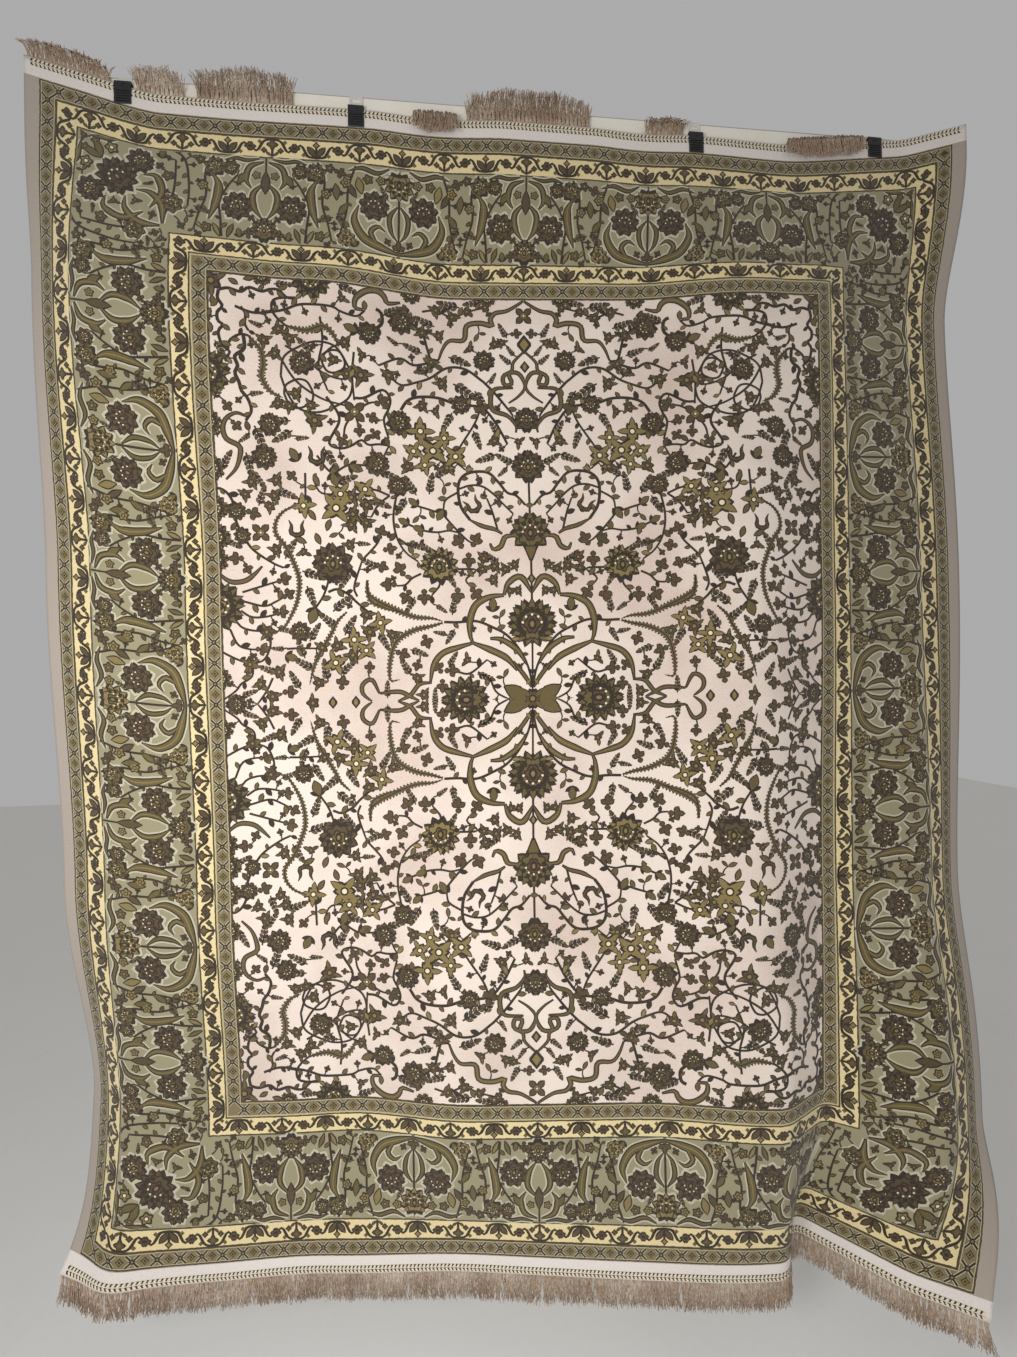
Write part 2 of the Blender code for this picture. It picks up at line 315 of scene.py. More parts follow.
@dataclass
class Drape:
    """The hanging cloth's middle plane, as the part's source has it, as a fine lattice."""

    width: float = 2.44
    length: float = 3.00
    thickness: float = 0.006
    origin: tuple[float, float, float] = (1.04, -0.0159, -1.504)
    heights: tuple[float, ...] = (1.44, 1.00, 0.30, -0.50, -1.10, -1.50)
    folds: tuple[Fold, ...] = (
        Fold(-2.00, 2.00, 0.05, (0, -4, -5, -5, -6, -10)),
        Fold(-2.00, -0.45, 0.30, (0, 4, 5, 6, 7, 3)),
        Fold(0.45, 2.00, 0.30, (0, 5, 21, 27, 2, 10)),
        Fold(-2.00, -1.08, 0.05, (-4, -26, -16, -20, -38, -52)),
        Fold(1.06, 2.00, 0.04, (-15, -8, 1, 27, 54, 13)),
        Fold(-0.88, -0.62, 0.10, (0, 6, -2, -5, -6, 6)),
        Fold(-0.48, -0.22, 0.10, (0, 15, 3, -10, -12, 4)),
        Fold(0.32, 0.58, 0.10, (0, -11, -21, -25, -9, -3)),
        Fold(0.635, 0.785, 0.035, (0, 0, 0, 0, 31, 60)),
        Fold(0.785, 2.00, 0.035, (0, 12, -11, -27, -26, -50)),
    )
    corners: tuple[Corner, ...] = (
        Corner(-1, 0.90, (0.33, 0.24, 0.22, 0.21, 0.20, 0.06)),
        Corner(1, 0.70, (0.12, 0.09, 0.05, 0.00, -0.01, 0.05)),
    )
    sags: tuple[Sag, ...] = (
        Sag(-0.23, 0.18, 0.010),
        Sag(0.31, 0.14, 0.006),
        Sag(0.72, 0.24, 0.005),
        Sag(-0.72, 0.25, 0.003),
    )
    sag_reach: float = 0.45
    corner_softness: float = 0.10
    forward: tuple[float, ...] = (0.000, -0.022, 0.003, 0.013, -0.009, -0.022)
    sideways: tuple[float, ...] = (0.012, -0.001, 0.004, -0.006, -0.005, -0.003)
    flare_start: tuple[float, float] = (-0.85, -1.05)
    flare: tuple[float, float, float] = (-0.07, -0.15, 0.05)
    lattice_columns: int = 611
    lattice_rows: int = 301
    probe: float = 0.01

    def __post_init__(self) -> None:
        """Works out the lattice of points and of directions out of the pile."""
        self.us = np.linspace(-self.width / 2, self.width / 2, self.lattice_columns)
        self.ts = np.linspace(-self.length / 2, self.length / 2, self.lattice_rows)
        self.lattice = self._lattice()
        across = np.gradient(self.lattice, self.us, axis=1)
        upwards = np.gradient(self.lattice, self.ts, axis=0)
        normal = np.cross(across, upwards)
        self.directions = normal / np.linalg.norm(normal, axis=2, keepdims=True)

    def _at(self, values: Sequence[float]) -> np.ndarray:
        """Values given at the heights, eased to every row of the lattice, as a column.

        Args:
            values: one for each of the heights.

        Returns:
            The column.
        """
        known = np.array(self.heights[::-1])
        given = np.array(values[::-1], float)
        t = np.clip(self.ts, known[0], known[-1])
        lower = np.clip(np.searchsorted(known, t, side="right") - 1, 0, len(known) - 2)
        share = smooth(2 * (t - known[lower]) / (known[lower + 1] - known[lower]) - 1)
        return (given[lower] * (1 - share) + given[lower + 1] * share)[:, None]

    def _along(self, speed: np.ndarray) -> np.ndarray:
        """The running sum of a speed across each row, zero at the rug's middle.

        Args:
            speed: how much is gained for each metre across, row by row.

        Returns:
            The sums, row by row.
        """
        steps = (speed[:, 1:] + speed[:, :-1]) / 2 * (self.us[1] - self.us[0])
        total = np.concatenate([np.zeros((len(speed), 1)), np.cumsum(steps, axis=1)], axis=1)
        middle = len(self.us) // 2
        return total - total[:, middle : middle + 1]

    def _lattice(self) -> np.ndarray:
        """World points of the cloth's middle plane, by row and column.

        Returns:
            The lattice, rows first.
        """
        u = self.us[None, :]
        t = self.ts[:, None]
        turn = np.zeros((len(self.ts), len(self.us)))
        for fold in self.folds:
            inside = smooth((u - fold.start) / fold.softness)
            inside = inside * smooth((fold.end - u) / fold.softness)
            turn += self._at(fold.turn) * inside
        turn = np.radians(turn)
        x = self._along(np.cos(turn)) + self._at(self.sideways)
        y = self._along(np.sin(turn)) - self._at(self.forward)
        z = t + np.zeros_like(turn)
        for corner in self.corners:
            out = np.maximum(0.0, corner.side * u - corner.start)
            z = z + self._at(corner.rise) * out**2 / (out + self.corner_softness)
        for sag in self.sags:
            across = np.maximum(0.0, 1 - ((u - sag.middle) / sag.half_width) ** 2)
            reach = np.maximum(0.0, 1 - (self.length / 2 - t) / self.sag_reach)
            z = z - sag.drop * across**2 * reach
        start_u, start_t = self.flare_start
        aside = np.maximum(0.0, (start_u - u) / (self.width / 2 + start_u)) ** 2
        below = np.maximum(0.0, (start_t - t) / (self.length / 2 + start_t)) ** 2
        flare = (aside * below)[..., None] * np.array(self.flare)
        return np.stack([x, y, z], axis=-1) + flare + np.array(self.origin)

    def _read(self, table: np.ndarray, u: np.ndarray, t: np.ndarray) -> np.ndarray:
        """A lattice table at places between its points.

        Args:
            table: the lattice of points or of directions.
            u: places across.
            t: places up.

        Returns:
            The table's value at each place.
        """
        past_last = 1.000001
        iu = np.clip((u - self.us[0]) / (self.us[1] - self.us[0]), 0, len(self.us) - past_last)
        it = np.clip((t - self.ts[0]) / (self.ts[1] - self.ts[0]), 0, len(self.ts) - past_last)
        a, b = iu.astype(int), it.astype(int)
        fa, fb = (iu - a)[:, None], (it - b)[:, None]
        low = table[b, a] * (1 - fa) + table[b, a + 1] * fa
        high = table[b + 1, a] * (1 - fa) + table[b + 1, a + 1] * fa
        return low * (1 - fb) + high * fb

    def normals(self, u: np.ndarray, t: np.ndarray) -> np.ndarray:
        """Directions straight out of the pile."""
        found = self._read(self.directions, u, t)
        return found / np.linalg.norm(found, axis=1, keepdims=True)

    def points(self, u: np.ndarray, t: np.ndarray, height: np.ndarray | float = 0.0) -> np.ndarray:
        """Places on the cloth, so high over its middle plane. Past an end it goes on straight.

        Args:
            u: places across.
            t: places up.
            height: how far out of the middle plane, in metres.

        Returns:
            World points.
        """
        u, t = np.asarray(u, float), np.asarray(t, float)
        inside = np.clip(t, self.ts[0], self.ts[-1])
        base = self._read(self.lattice, u, inside)
        step = np.where(t < 0, -self.probe, self.probe)
        along = (base - self._read(self.lattice, u, inside - step)) / self.probe
        base = base + along * np.abs(t - inside)[:, None]
        return base + self.normals(u, inside) * np.reshape(height, (-1, 1))


@lru_cache(maxsize=None)
def unit_strip(steps: int) -> tuple[np.ndarray, Faces]:
    """A flat strip of so many steps: along from 0 to 1, across from -1 to 1, and its faces.

    Args:
        steps: how many faces long it is.

    Returns:
        Each point's two places, and the faces.
    """
    shape = bmesh.new()
    bmesh.ops.create_grid(shape, x_segments=steps, y_segments=1, size=1.0)
    bmesh.ops.recalc_face_normals(shape, faces=shape.faces)
    places = np.array([(v.co.x / 2 + 0.5, v.co.y) for v in shape.verts])
    faces = tuple(upward(face) for face in shape.faces)
    shape.free()
    return places, faces


@lru_cache(maxsize=None)
def unit_disc(points: int, rings: int) -> tuple[np.ndarray, Faces]:
    """A flat disc: each point's angle and share of the radius, and its faces.

    Args:
        points: how many stand round its edge.
        rings: how many rings of faces it has.

    Returns:
        Each point's angle and share, and the faces.
    """
    shape = bmesh.new()
    bmesh.ops.create_circle(shape, segments=points, radius=1.0)
    edges = shape.edges[:]
    for ring in range(1, rings):
        drawn = bmesh.ops.extrude_edge_only(shape, edges=edges)["geom"]
        moved = [item for item in drawn if isinstance(item, bmesh.types.BMVert)]
        edges = [item for item in drawn if isinstance(item, bmesh.types.BMEdge)]
        share = (rings - ring) / (rings - ring + 1)
        bmesh.ops.scale(shape, vec=Vector((share, share, 1)), verts=moved)
    bmesh.ops.contextual_create(shape, geom=edges)
    hub = [face for face in shape.faces if len(face.verts) == points]
    bmesh.ops.poke(shape, faces=hub)
    places = np.array([(math.atan2(v.co.y, v.co.x), math.hypot(v.co.x, v.co.y)) for v in shape.verts])
    faces = tuple(upward(face) for face in shape.faces)
    shape.free()
    return places, faces


def upward(face: bmesh.types.BMFace) -> tuple[int, ...]:
    """A flat face's corners, turned so that it faces up.

    Args:
        face: the face.

    Returns:
        The corners' numbers in order.
    """
    face.normal_update()
    order = tuple(vertex.index for vertex in face.verts)
    return order if face.normal.z >= 0 else order[::-1]


def spline(points: np.ndarray, steps: int) -> np.ndarray:
    """A smooth curve through the points, as so many even steps.

    Args:
        points: what the curve goes through.
        steps: how many steps.

    Returns:
        One point more than there are steps.
    """
    points = np.asarray(points, float)
    if len(points) == 2:
        share = np.linspace(0, 1, steps + 1)[:, None]
        return points[0] * (1 - share) + points[1] * share
    ends = np.vstack([2 * points[0] - points[1], points, 2 * points[-1] - points[-2]])
    fine = []
    for a, b, c, d in zip(ends, ends[1:], ends[2:], ends[3:]):
        s = np.linspace(0, 1, 9)[:-1, None]
        square, cube = 2 * a - 5 * b + 4 * c - d, 3 * b - a - 3 * c + d
        fine.append(0.5 * (2 * b + (c - a) * s + square * s**2 + cube * s**3))
    line = np.vstack([*fine, points[-1:]])
    run = np.concatenate([[0], np.cumsum(np.linalg.norm(np.diff(line, axis=0), axis=1))])
    even = np.linspace(0, run[-1], steps + 1)
    return np.stack([np.interp(even, run, line[:, i]) for i in range(points.shape[1])], axis=1)


@dataclass(frozen=True)
class Place:
    """Where a motif stands: its middle, the way it faces in degrees, its size and its flip."""

    x: float = 0.0
    y: float = 0.0
    angle: float = 0.0
    size: float = 1.0
    flip: float = 1.0

    def __call__(self, points: np.ndarray) -> np.ndarray:
        """The points moved from the motif's own places to the drawing's.

        Args:
            points: flat points, one a row.

        Returns:
            The moved points.
        """
        a = math.radians(self.angle)
        x = points[:, 0] * self.flip * self.size
        y = points[:, 1] * self.size
        across = self.x + x * math.cos(a) - y * math.sin(a)
        up = self.y + x * math.sin(a) + y * math.cos(a)
        return np.stack([across, up], axis=1)


HERE = Place()


@dataclass
class Drawing:
    """Flat shapes in centimetres: each tone's points, with their heights, and faces."""

    places: dict[Tone, list[np.ndarray]] = field(default_factory=dict)
    heights: dict[Tone, list[np.ndarray]] = field(default_factory=dict)
    faces: dict[Tone, list[tuple[int, ...]]] = field(default_factory=dict)
    counts: dict[Tone, int] = field(default_factory=dict)

    def add(
        self, tone: Tone, points: np.ndarray, faces: Iterable[tuple[int, ...]], height: np.ndarray
    ) -> None:
        """Adds one shape.

        Args:
            tone: its wool.
            points: its flat points.
            faces: its faces, by the numbers of its own points.
            height: each point's height over the cloth in millimetres.
        """
        first = self.counts.get(tone, 0)
        self.places.setdefault(tone, []).append(points)
        self.heights.setdefault(tone, []).append(height)
        self.faces.setdefault(tone, []).extend(tuple(first + i for i in face) for face in faces)
        self.counts[tone] = first + len(points)

    def stamp(self, source: "Drawing", move: Move) -> None:
        """Adds a copy of another drawing, moved. A copy that is turned over has its faces turned.

        Args:
            source: the other drawing.
            move: what moves its points.
        """
        probe = move(np.array([(0.0, 0.0), (1.0, 0.0), (0.0, 1.0)]))
        side, up = probe[1] - probe[0], probe[2] - probe[0]
        over = side[0] * up[1] - side[1] * up[0] < 0
        for tone, parts in source.places.items():
            faces = source.faces[tone]
            if over:
                faces = [face[::-1] for face in faces]
            self.add(tone, move(np.vstack(parts)), faces, np.concatenate(source.heights[tone]))


class Pen:
    """Draws the motifs. Sizes are in centimetres. With a rim, each palmette has a light outline."""

    step_length: float = 0.8
    most_steps: int = 90
    swell: float = 1.12
    tooth_depth: float = 0.30
    leaf_pitch: float = 2.2

    def __init__(self, rim: bool = False) -> None:
        """Starts an empty drawing."""
        self.drawing = Drawing()
        self.rim = rim

    def ribbon(
        self,
        tone: Tone,
        points: Points,
        widths: Sequence[float],
        place: Place = HERE,
        lift: float = 0.0,
        teeth: int = 0,
    ) -> None:
        """A stroke along a smooth curve.

        Args:
            tone: its wool.
            points: what the curve goes through.
            widths: full widths, spread evenly along it.
            place: where the motif stands.
            lift: how much higher than its tone's own height, in millimetres.
            teeth: how many saw teeth each side has.
        """
        ends = np.asarray(points, float)
        length = np.linalg.norm(np.diff(ends, axis=0), axis=1).sum() * place.size
        steps = max(3, min(self.most_steps, int(length / self.step_length) + 1))
        if teeth:
            steps = teeth * 3
        if len(ends) > 2:
            steps = max(steps, len(ends) + (1 if length < 4 else 3))
        unit, faces = unit_strip(steps)
        line = spline(ends, steps)
        ahead = np.gradient(line, axis=0)
        ahead /= np.maximum(np.linalg.norm(ahead, axis=1, keepdims=True), 1e-9)
        side = np.stack([-ahead[:, 1], ahead[:, 0]], axis=1)
        share = np.linspace(0, 1, steps + 1)
        half = np.interp(share, np.linspace(0, 1, len(widths)), widths) / 2 * self.swell
        if teeth:
            half = half * (1.0 - self.tooth_depth * (np.arange(steps + 1) % 3))
        row = np.rint(unit[:, 0] * steps).astype(int)
        shape = line[row] + side[row] * (half[row] * unit[:, 1])[:, None]
        self._add(tone, place(shape), faces, lift, place)

    def _add(self, tone: Tone, shape: np.ndarray, faces: Faces, lift: float, place: Place) -> None:
        """Adds a shape at its tone's height.

        Args:
            tone: its wool.
            shape: its flat points.
            faces: its faces.
            lift: how much higher than its tone's own height, in millimetres.
            place: where the motif stands, for its flip.
        """
        height = np.full(len(shape), LEVELS[tone] + lift)
        if place.flip < 0:
            faces = tuple(face[::-1] for face in faces)
        self.drawing.add(tone, shape, faces, height)

    def disc(
        self,
        tone: Tone,
        x: float,
        y: float,
        radius: float,
        lobes: int = 0,
        depth: float = 0.18,
        stretch: float = 1.0,
        place: Place = HERE,
        lift: float = 0.0,
    ) -> None:
        """A disc, or a flower's outline of so many lobes, stretched along y.

        Args:
            tone: its wool.
            x: its middle.
            y: its middle.
            radius: its radius.
            lobes: how many lobes it has, or none.
            depth: half of the share of the radius that the lobes cut in.
            stretch: its height for each unit of width.
            place: where the motif stands.
            lift: how much higher than its tone's own height, in millimetres.
        """
        size = radius * place.size
        around = max(6, min(32, int(size * 7) + 6))
        if lobes:
            around = lobes * (4 if size > 1.0 else 3 if size > 0.45 else 2)
        unit, faces = unit_disc(around, 1 if size < 1.3 else 2 if size < 2.6 else 3)
        angle, share = unit[:, 0], unit[:, 1]
        edge = radius * share
        if lobes:
            edge = edge * (1 - depth + depth * np.cos(lobes * angle))
        shape = np.stack([x + edge * np.cos(angle), y + edge * np.sin(angle) * stretch], axis=1)
        self._add(tone, place(shape), faces, lift, place)

    def leaf(
        self,
        x: float,
        y: float,
        angle: float,
        length: float,
        width: float,
        bend: float,
        fill: Tone,
        place: Place = HERE,
        edge: float = 0.28,
    ) -> None:
        """A pointed leaf with a dark edge.

        Args:
            x: its root.
            y: its root.
            angle: the way it points, in degrees.
            length: how long it is.
            width: how wide it is in its middle.
            bend: how far its tip is moved to its left.
            fill: its wool inside the edge.
            place: where the motif stands.
            edge: how wide the dark edge is.
        """
        a = math.radians(angle)
        ahead = np.array([math.cos(a), math.sin(a)])
        left = np.array([-ahead[1], ahead[0]])
        root = np.array([x, y])
        middle = root + ahead * length * 0.5 + left * bend * 0.3
        line = [root, middle, root + ahead * length + left * bend]
        profile = (0.15, 0.75, 1.0, 0.8, 0.03)
        self.ribbon(Tone.DARK, line, [w * width for w in profile], place)
        if width > 2.2 * edge and fill != Tone.DARK:
            inner = [root + (p - root) * 0.9 + ahead * length * 0.04 for p in line]
            slim = [max(0.02, w * width - 2 * edge) for w in profile]
            self.ribbon(fill, inner, slim, place)

    def flower(
        self,
        x: float,
        y: float,
        radius: float,
        fill: Tone,
        heart: Tone = Tone.GOLD,
        lobes: int = 5,
        place: Place = HERE,
    ) -> None:
        """A small open flower: dark lobes, a coloured ring and a heart.

        Args:
            x: its middle.
            y: its middle.
            radius: its radius.
            fill: the ring's wool.
            heart: the heart's wool.
            lobes: how many petals it has.
            place: where the motif stands.
        """
        self.disc(Tone.DARK, x, y, radius, lobes, 0.16, place=place)
        self.disc(fill, x, y, radius * 0.74, lobes, 0.20, place=place)
        self.disc(Tone.DARK, x, y, radius * 0.36, place=place, lift=0.45)
        lift = 0.35 if heart == Tone.GOLD else 0.1
        self.disc(heart, x, y, radius * 0.22, place=place, lift=lift)

    def star(self, x: float, y: float, radius: float, angle: float, place: Place = HERE) -> None:
        """A small dark flower of three pointed petals on a calyx.

        Args:
            x: its middle.
            y: its middle.
            radius: its radius.
            angle: the way it opens, in degrees.
            place: where the motif stands.
        """
        for spread, reach in ((-58, 0.9), (0, 1.15), (58, 0.9), (180, 0.7)):
            long, wide = radius * reach, radius * 0.62
            self.leaf(x, y, angle + spread, long, wide, 0.0, Tone.BROWN, place, 0.24)

    def bud(self, x: float, y: float, angle: float, size: float, place: Place = HERE) -> None:
        """A closed flower between two small leaves.

        Args:
            x: its root.
            y: its root.
            angle: the way it points, in degrees.
            size: its length.
            place: where the motif stands.
        """
        self.leaf(x, y, angle, size, size * 0.55, 0.0, Tone.OLIVE, place, 0.2)
        for side in (1, -1):
            way, bend = angle + side * 38, side * size * 0.14
            self.leaf(x, y, way, size * 0.62, size * 0.26, bend, Tone.DARK, place, 0.2)

    def tulip(self, x: float, y: float, angle: float, size: float) -> None:
        """A dark cup of two petals that curve apart at their tips.

        Args:
            x: its middle.
            y: its middle.
            angle: the way it opens, in degrees.
            size: its radius.
        """
        here = Place(x, y, angle - 90, size)
        for side in (-1.0, 1.0):
            line = [(0, -0.5), (side * 0.42, -0.28), (side * 0.36, 0.2), (side * 0.55, 0.62)]
            self.ribbon(Tone.DARK, line, (0.30, 0.34, 0.22, 0.05), here)
            self.ribbon(Tone.BROWN, line, (0.10, 0.15, 0.06, 0.02), here)
        self.disc(Tone.DARK, 0, -0.5, 0.24, place=here)

    def palmette(
        self,
        x: float,
        y: float,
        angle: float,
        size: float,
        petals: int,
        spread: float,
        fill: Tone,
        inner: Tone,
        place: Place = HERE,
    ) -> None:
        """A large open flower seen from its side: rows of pointed petals about a heart.

        Args:
            x: its middle.
            y: its middle.
            angle: the way it opens, in degrees.
            size: its radius.
            petals: how many stand in the outer row.
            spread: how far the outer row reaches to either side, in degrees.
            fill: the petals' wool.
            inner: the heart's wool.
            place: where the motif stands.
        """
        here = compose(place, Place(x, y, angle - 90, size))
        edge = 0.05
        wide = 4.3 * spread / 130 / petals
        if self.rim:
            self.disc(Tone.SAGE, 0, 0.0, 1.20, petals, 0.10, place=here)
        self.disc(Tone.DARK, 0, 0.0, 1.02, petals, 0.12, place=here)
        for k in range(petals):
            way = -spread + 2 * spread * k / (petals - 1)
            reach = 0.98 + 0.10 * math.cos(math.radians(way))
            self.leaf(0, -0.06, 90 + way, reach, wide, 0.0, fill, here, edge)
        self.disc(Tone.DARK, 0, 0.0, 0.74, petals, 0.08, place=here, lift=0.42)
        self.disc(fill, 0, 0.0, 0.67, petals, 0.10, place=here, lift=1.05 - LEVELS[fill])
        for k in range(petals - 2):
            way = math.radians(90 - 0.85 * spread + 1.7 * spread * k / (petals - 3))
            x, y = 0.52 * math.cos(way), 0.52 * math.sin(way)
            self.disc(Tone.DARK, x, y, 0.12, place=here, lift=0.60)
        self.disc(Tone.DARK, 0, -0.04, 0.42, 5, 0.14, place=here, lift=0.62)
        self.disc(inner, 0, -0.04, 0.33, 5, 0.16, place=here, lift=1.22 - LEVELS[inner])
        for way in (-80, -40, 0, 40, 80):
            a = math.radians(90 + way)
            x, y = 0.38 * math.cos(a), -0.04 + 0.38 * math.sin(a)
            self.disc(Tone.IVORY, x, y, 0.05, place=here, lift=0.1)
        self.disc(Tone.DARK, 0, -0.04, 0.17, place=here, lift=0.95, stretch=1.5)
        self.disc(Tone.GOLD, 0, -0.04, 0.08, place=here, lift=0.75, stretch=1.5)
        for side in (-1, 1):
            self.leaf(0, -0.6, 90 - side * 78, 0.7, 0.3, side * 0.26, fill, here, edge)

    def feather(self, points: Points, width: float) -> None:
        """A long leaf with saw edges, a tooth about every 9 mm, and a dark rib.

        Args:
            points: what its rib goes through.
            width: how wide it is at its widest.
        """
        profile = (0.35, 0.8, 1.0, 0.95, 0.7, 0.12)
        reach = sum(math.dist(a, b) for a, b in zip(points, points[1:]))
        teeth = int(reach / 0.9)
        self.ribbon(Tone.DARK, points, [w * width for w in profile], teeth=teeth)
        self.ribbon(Tone.OLIVE, points, [w * width * 0.70 for w in profile], teeth=teeth)
        self.ribbon(Tone.DARK, points, (0.22, 0.24, 0.14), lift=0.5)

    def arabesque(
        self, points: Points, widths: Sequence[float], edge: float, place: Place = HERE
    ) -> None:
        """A broad strap with dark edges and a lighter rib down its middle.

        Args:
            points: what it goes through.
            widths: full widths, spread evenly along it.
            edge: how wide the dark edges are.
            place: where the motif stands.
        """
        self.ribbon(Tone.DARK, points, widths, place)
        slim = [max(0.03, w - 2 * edge) for w in widths]
        self.ribbon(Tone.OLIVE, points, slim, place)
        if max(slim) > 0.7:
            self.ribbon(Tone.GOLD, points, [0.22 * w for w in slim], place)

    def stem(self, points: Points, width: float, place: Place = HERE) -> None:
        """A thin dark stem that tapers a little to its tip."""
        self.ribbon(Tone.DARK, points, (width, width, width * 0.8), place)

    def vine(self, points: Points, width: float, size: float, place: Place = HERE) -> None:
        """A stem with leaves on either side in turn, and now and then a small flower.

        Args:
            points: what the stem goes through.
            width: its width.
            size: how large they are.
            place: where the motif stands.
        """
        self.stem(points, width, place)
        ends = np.asarray(points, float)
        reach = np.linalg.norm(np.diff(ends, axis=0), axis=1).sum()
        count = max(2, int(reach / self.leaf_pitch))
        line = spline(ends, count)
        ahead = np.gradient(line, axis=0)
        fills = (Tone.BROWN, Tone.OLIVE, Tone.DARK, Tone.GOLD, Tone.OLIVE)
        for k in range(1, count + 1):
            way = math.degrees(math.atan2(ahead[k, 1], ahead[k, 0]))
            side = 1 if k % 2 else -1
            x, y = line[k]
            long = size * (1.9 + 0.4 * math.sin(2.3 * k + reach))
            if k % 4 == 3:
                a = math.radians(way + side * 75)
                x, y = x + 1.5 * size * math.cos(a), y + 1.5 * size * math.sin(a)
                self.stem((line[k], (x, y)), 0.3, place)
                self.star(x, y, 1.05 * size, way + side * 75, place)
            else:
                fill = fills[k % len(fills)]
                self.leaf(x, y, way + side * 42, long, 0.52 * long, side * 0.3, fill, place, 0.2)

    def fill_gaps(
        self, low: Span, high: Span, clear: float, size: float, seed: int, inner: float = math.inf
    ) -> None:
        """Grows a twig from the nearest stem into each empty spot.

        Args:
            low: the smallest x and y it may stand at.
            high: the largest x and y.
            clear: how far from everything else an empty spot is.
            size: how large the twigs are.
            seed: the seed of the order in which spots are tried.
            inner: how far past the middle both x and y may be negative together.
        """
        chance = np.random.default_rng(seed)
        drawn = np.vstack([part for parts in self.drawing.places.values() for part in parts])
        tree = KDTree(len(drawn))
        for k, point in enumerate(drawn):
            tree.insert((point[0], point[1], 0.0), k)
        tree.balance()
        pitch = 0.55 * clear
        columns, rows = (np.arange(a, b, pitch) for a, b in zip(low, high))
        spots = [(x, y) for x in columns for y in rows]
        taken: list[tuple[float, float]] = []
        for k in chance.permutation(len(spots)):
            x, y = (value + chance.uniform(-0.3, 0.3) * pitch for value in spots[k])
            near, _, gap = tree.find((x, y, 0.0))
            crowded = any(math.dist((x, y), other) < 2.1 * clear for other in taken)
            if gap < clear or max(x, y) < -inner or crowded:
                continue
            taken.append((x, y))
            way = math.degrees(math.atan2(y - near.y, x - near.x))
            bow = 0.12
            middle = ((x + near.x) / 2 + bow * (y - near.y), (y + near.y) / 2 - bow * (x - near.x))
            self.ribbon(Tone.DARK, ((near.x, near.y), middle, (x, y)), (0.34, 0.30, 0.24))
            kind = len(taken) % 5
            if kind in (0, 3):
                self.spray(x, y, way + chance.uniform(-35, 35), size)
                continue
            if kind == 1:
                self.star(x, y, 1.05 * size, way)
                continue
            pair = ((25, 1.5, 0.66, 0.3), (-75, 1.2, 0.52, -0.2))
            if kind == 2:
                self.flower(x, y, 0.68 * size, Tone.BROWN)
                pair = ((60, 1.3, 0.55, 0.2), (-60, 1.3, 0.55, -0.2))
            for (turn, long, wide, bend), fill in zip(pair, (Tone.OLIVE, Tone.BROWN)):
                self.leaf(x, y, way + turn, long * size, wide * size, bend, fill, edge=0.2)

    def spray(self, x: float, y: float, angle: float, size: float) -> None:
        """A twig of dark paired leaves with a bud at its tip.

        Args:
            x: its middle.
            y: its middle.
            angle: the way it points, in degrees.
            size: half its length.
        """
        here = Place(x, y, angle - 90, size)
        self.ribbon(Tone.DARK, ((0, -0.9), (0.06, 0), (0, 0.8)), (0.12, 0.12, 0.06), here)
        for k in range(4):
            root = -0.7 + 0.4 * k
            for side in (-1, 1):
                fill = (Tone.BROWN, Tone.OLIVE, Tone.DARK)[(k + side) % 3]
                way, long = 90 - side * 48, 0.62 - 0.07 * k
                self.leaf(0.03, root, way, long, 0.27, side * 0.1, fill, here, 0.05)
        self.leaf(0, 0.62, 90, 0.6, 0.34, 0.0, Tone.BROWN, here, 0.05)


def compose(outer: Place, inner: Place) -> Place:
    """The place of a motif that stands inside another one.

    Args:
        outer: the other one's place.
        inner: its place in the other one.

    Returns:
        Its place in the drawing.
    """
    middle = outer(np.array([(inner.x, inner.y)]))[0]
    angle = outer.angle + inner.angle * (1 if outer.flip > 0 else -1)
    return Place(middle[0], middle[1], angle, outer.size * inner.size, outer.flip * inner.flip)


class StrokeKind(Enum):
    """The kinds of stroke in the field."""

    STEM = "stem"
    LINE = "line"
    STRAP = "strap"
    FEATHER = "feather"


class BloomKind(Enum):
    """The kinds of flower in the field."""

    ROSETTE = "rosette"
    GOLD = "gold"
    WHEEL = "wheel"
    STAR = "star"
    LEAF = "leaf"
    BUD = "bud"
    SPRAY = "spray"
    TULIP = "tulip"
    LOZENGE = "lozenge"
    RING = "ring"
    HALF = "half"
    VASE = "vase"
    LOTUS = "lotus"
    MEDALLION = "medallion"
    PALMETTE = "palmette"


class Stroke(NamedTuple):
    """A stroke of the field's quarter: what it is, its width and what it goes through."""

    kind: StrokeKind
    width: float
    points: Points


class Bloom(NamedTuple):
    """A flower of the field's quarter: its kind, its middle, its radius, and the way it opens."""

    kind: BloomKind
    x: float
    y: float
    radius: float
    angle: float = 90.0


class Palmette(NamedTuple):
    """A palmette of the field: its radius for each of the flower's, its petals and its wools."""

    size: float
    petals: int
    spread: float
    fill: Tone
    inner: Tone


PALMETTES = {
    BloomKind.HALF: Palmette(1.2, 9, 85, Tone.OLIVE, Tone.GOLD),
    BloomKind.VASE: Palmette(1.15, 9, 125, Tone.OLIVE, Tone.WINE),
    BloomKind.LOTUS: Palmette(1.3, 11, 115, Tone.GOLD, Tone.OLIVE),
    BloomKind.MEDALLION: Palmette(1.3, 15, 165, Tone.OLIVE, Tone.WINE),
    BloomKind.PALMETTE: Palmette(1.25, 9, 130, Tone.BROWN, Tone.OLIVE),
}

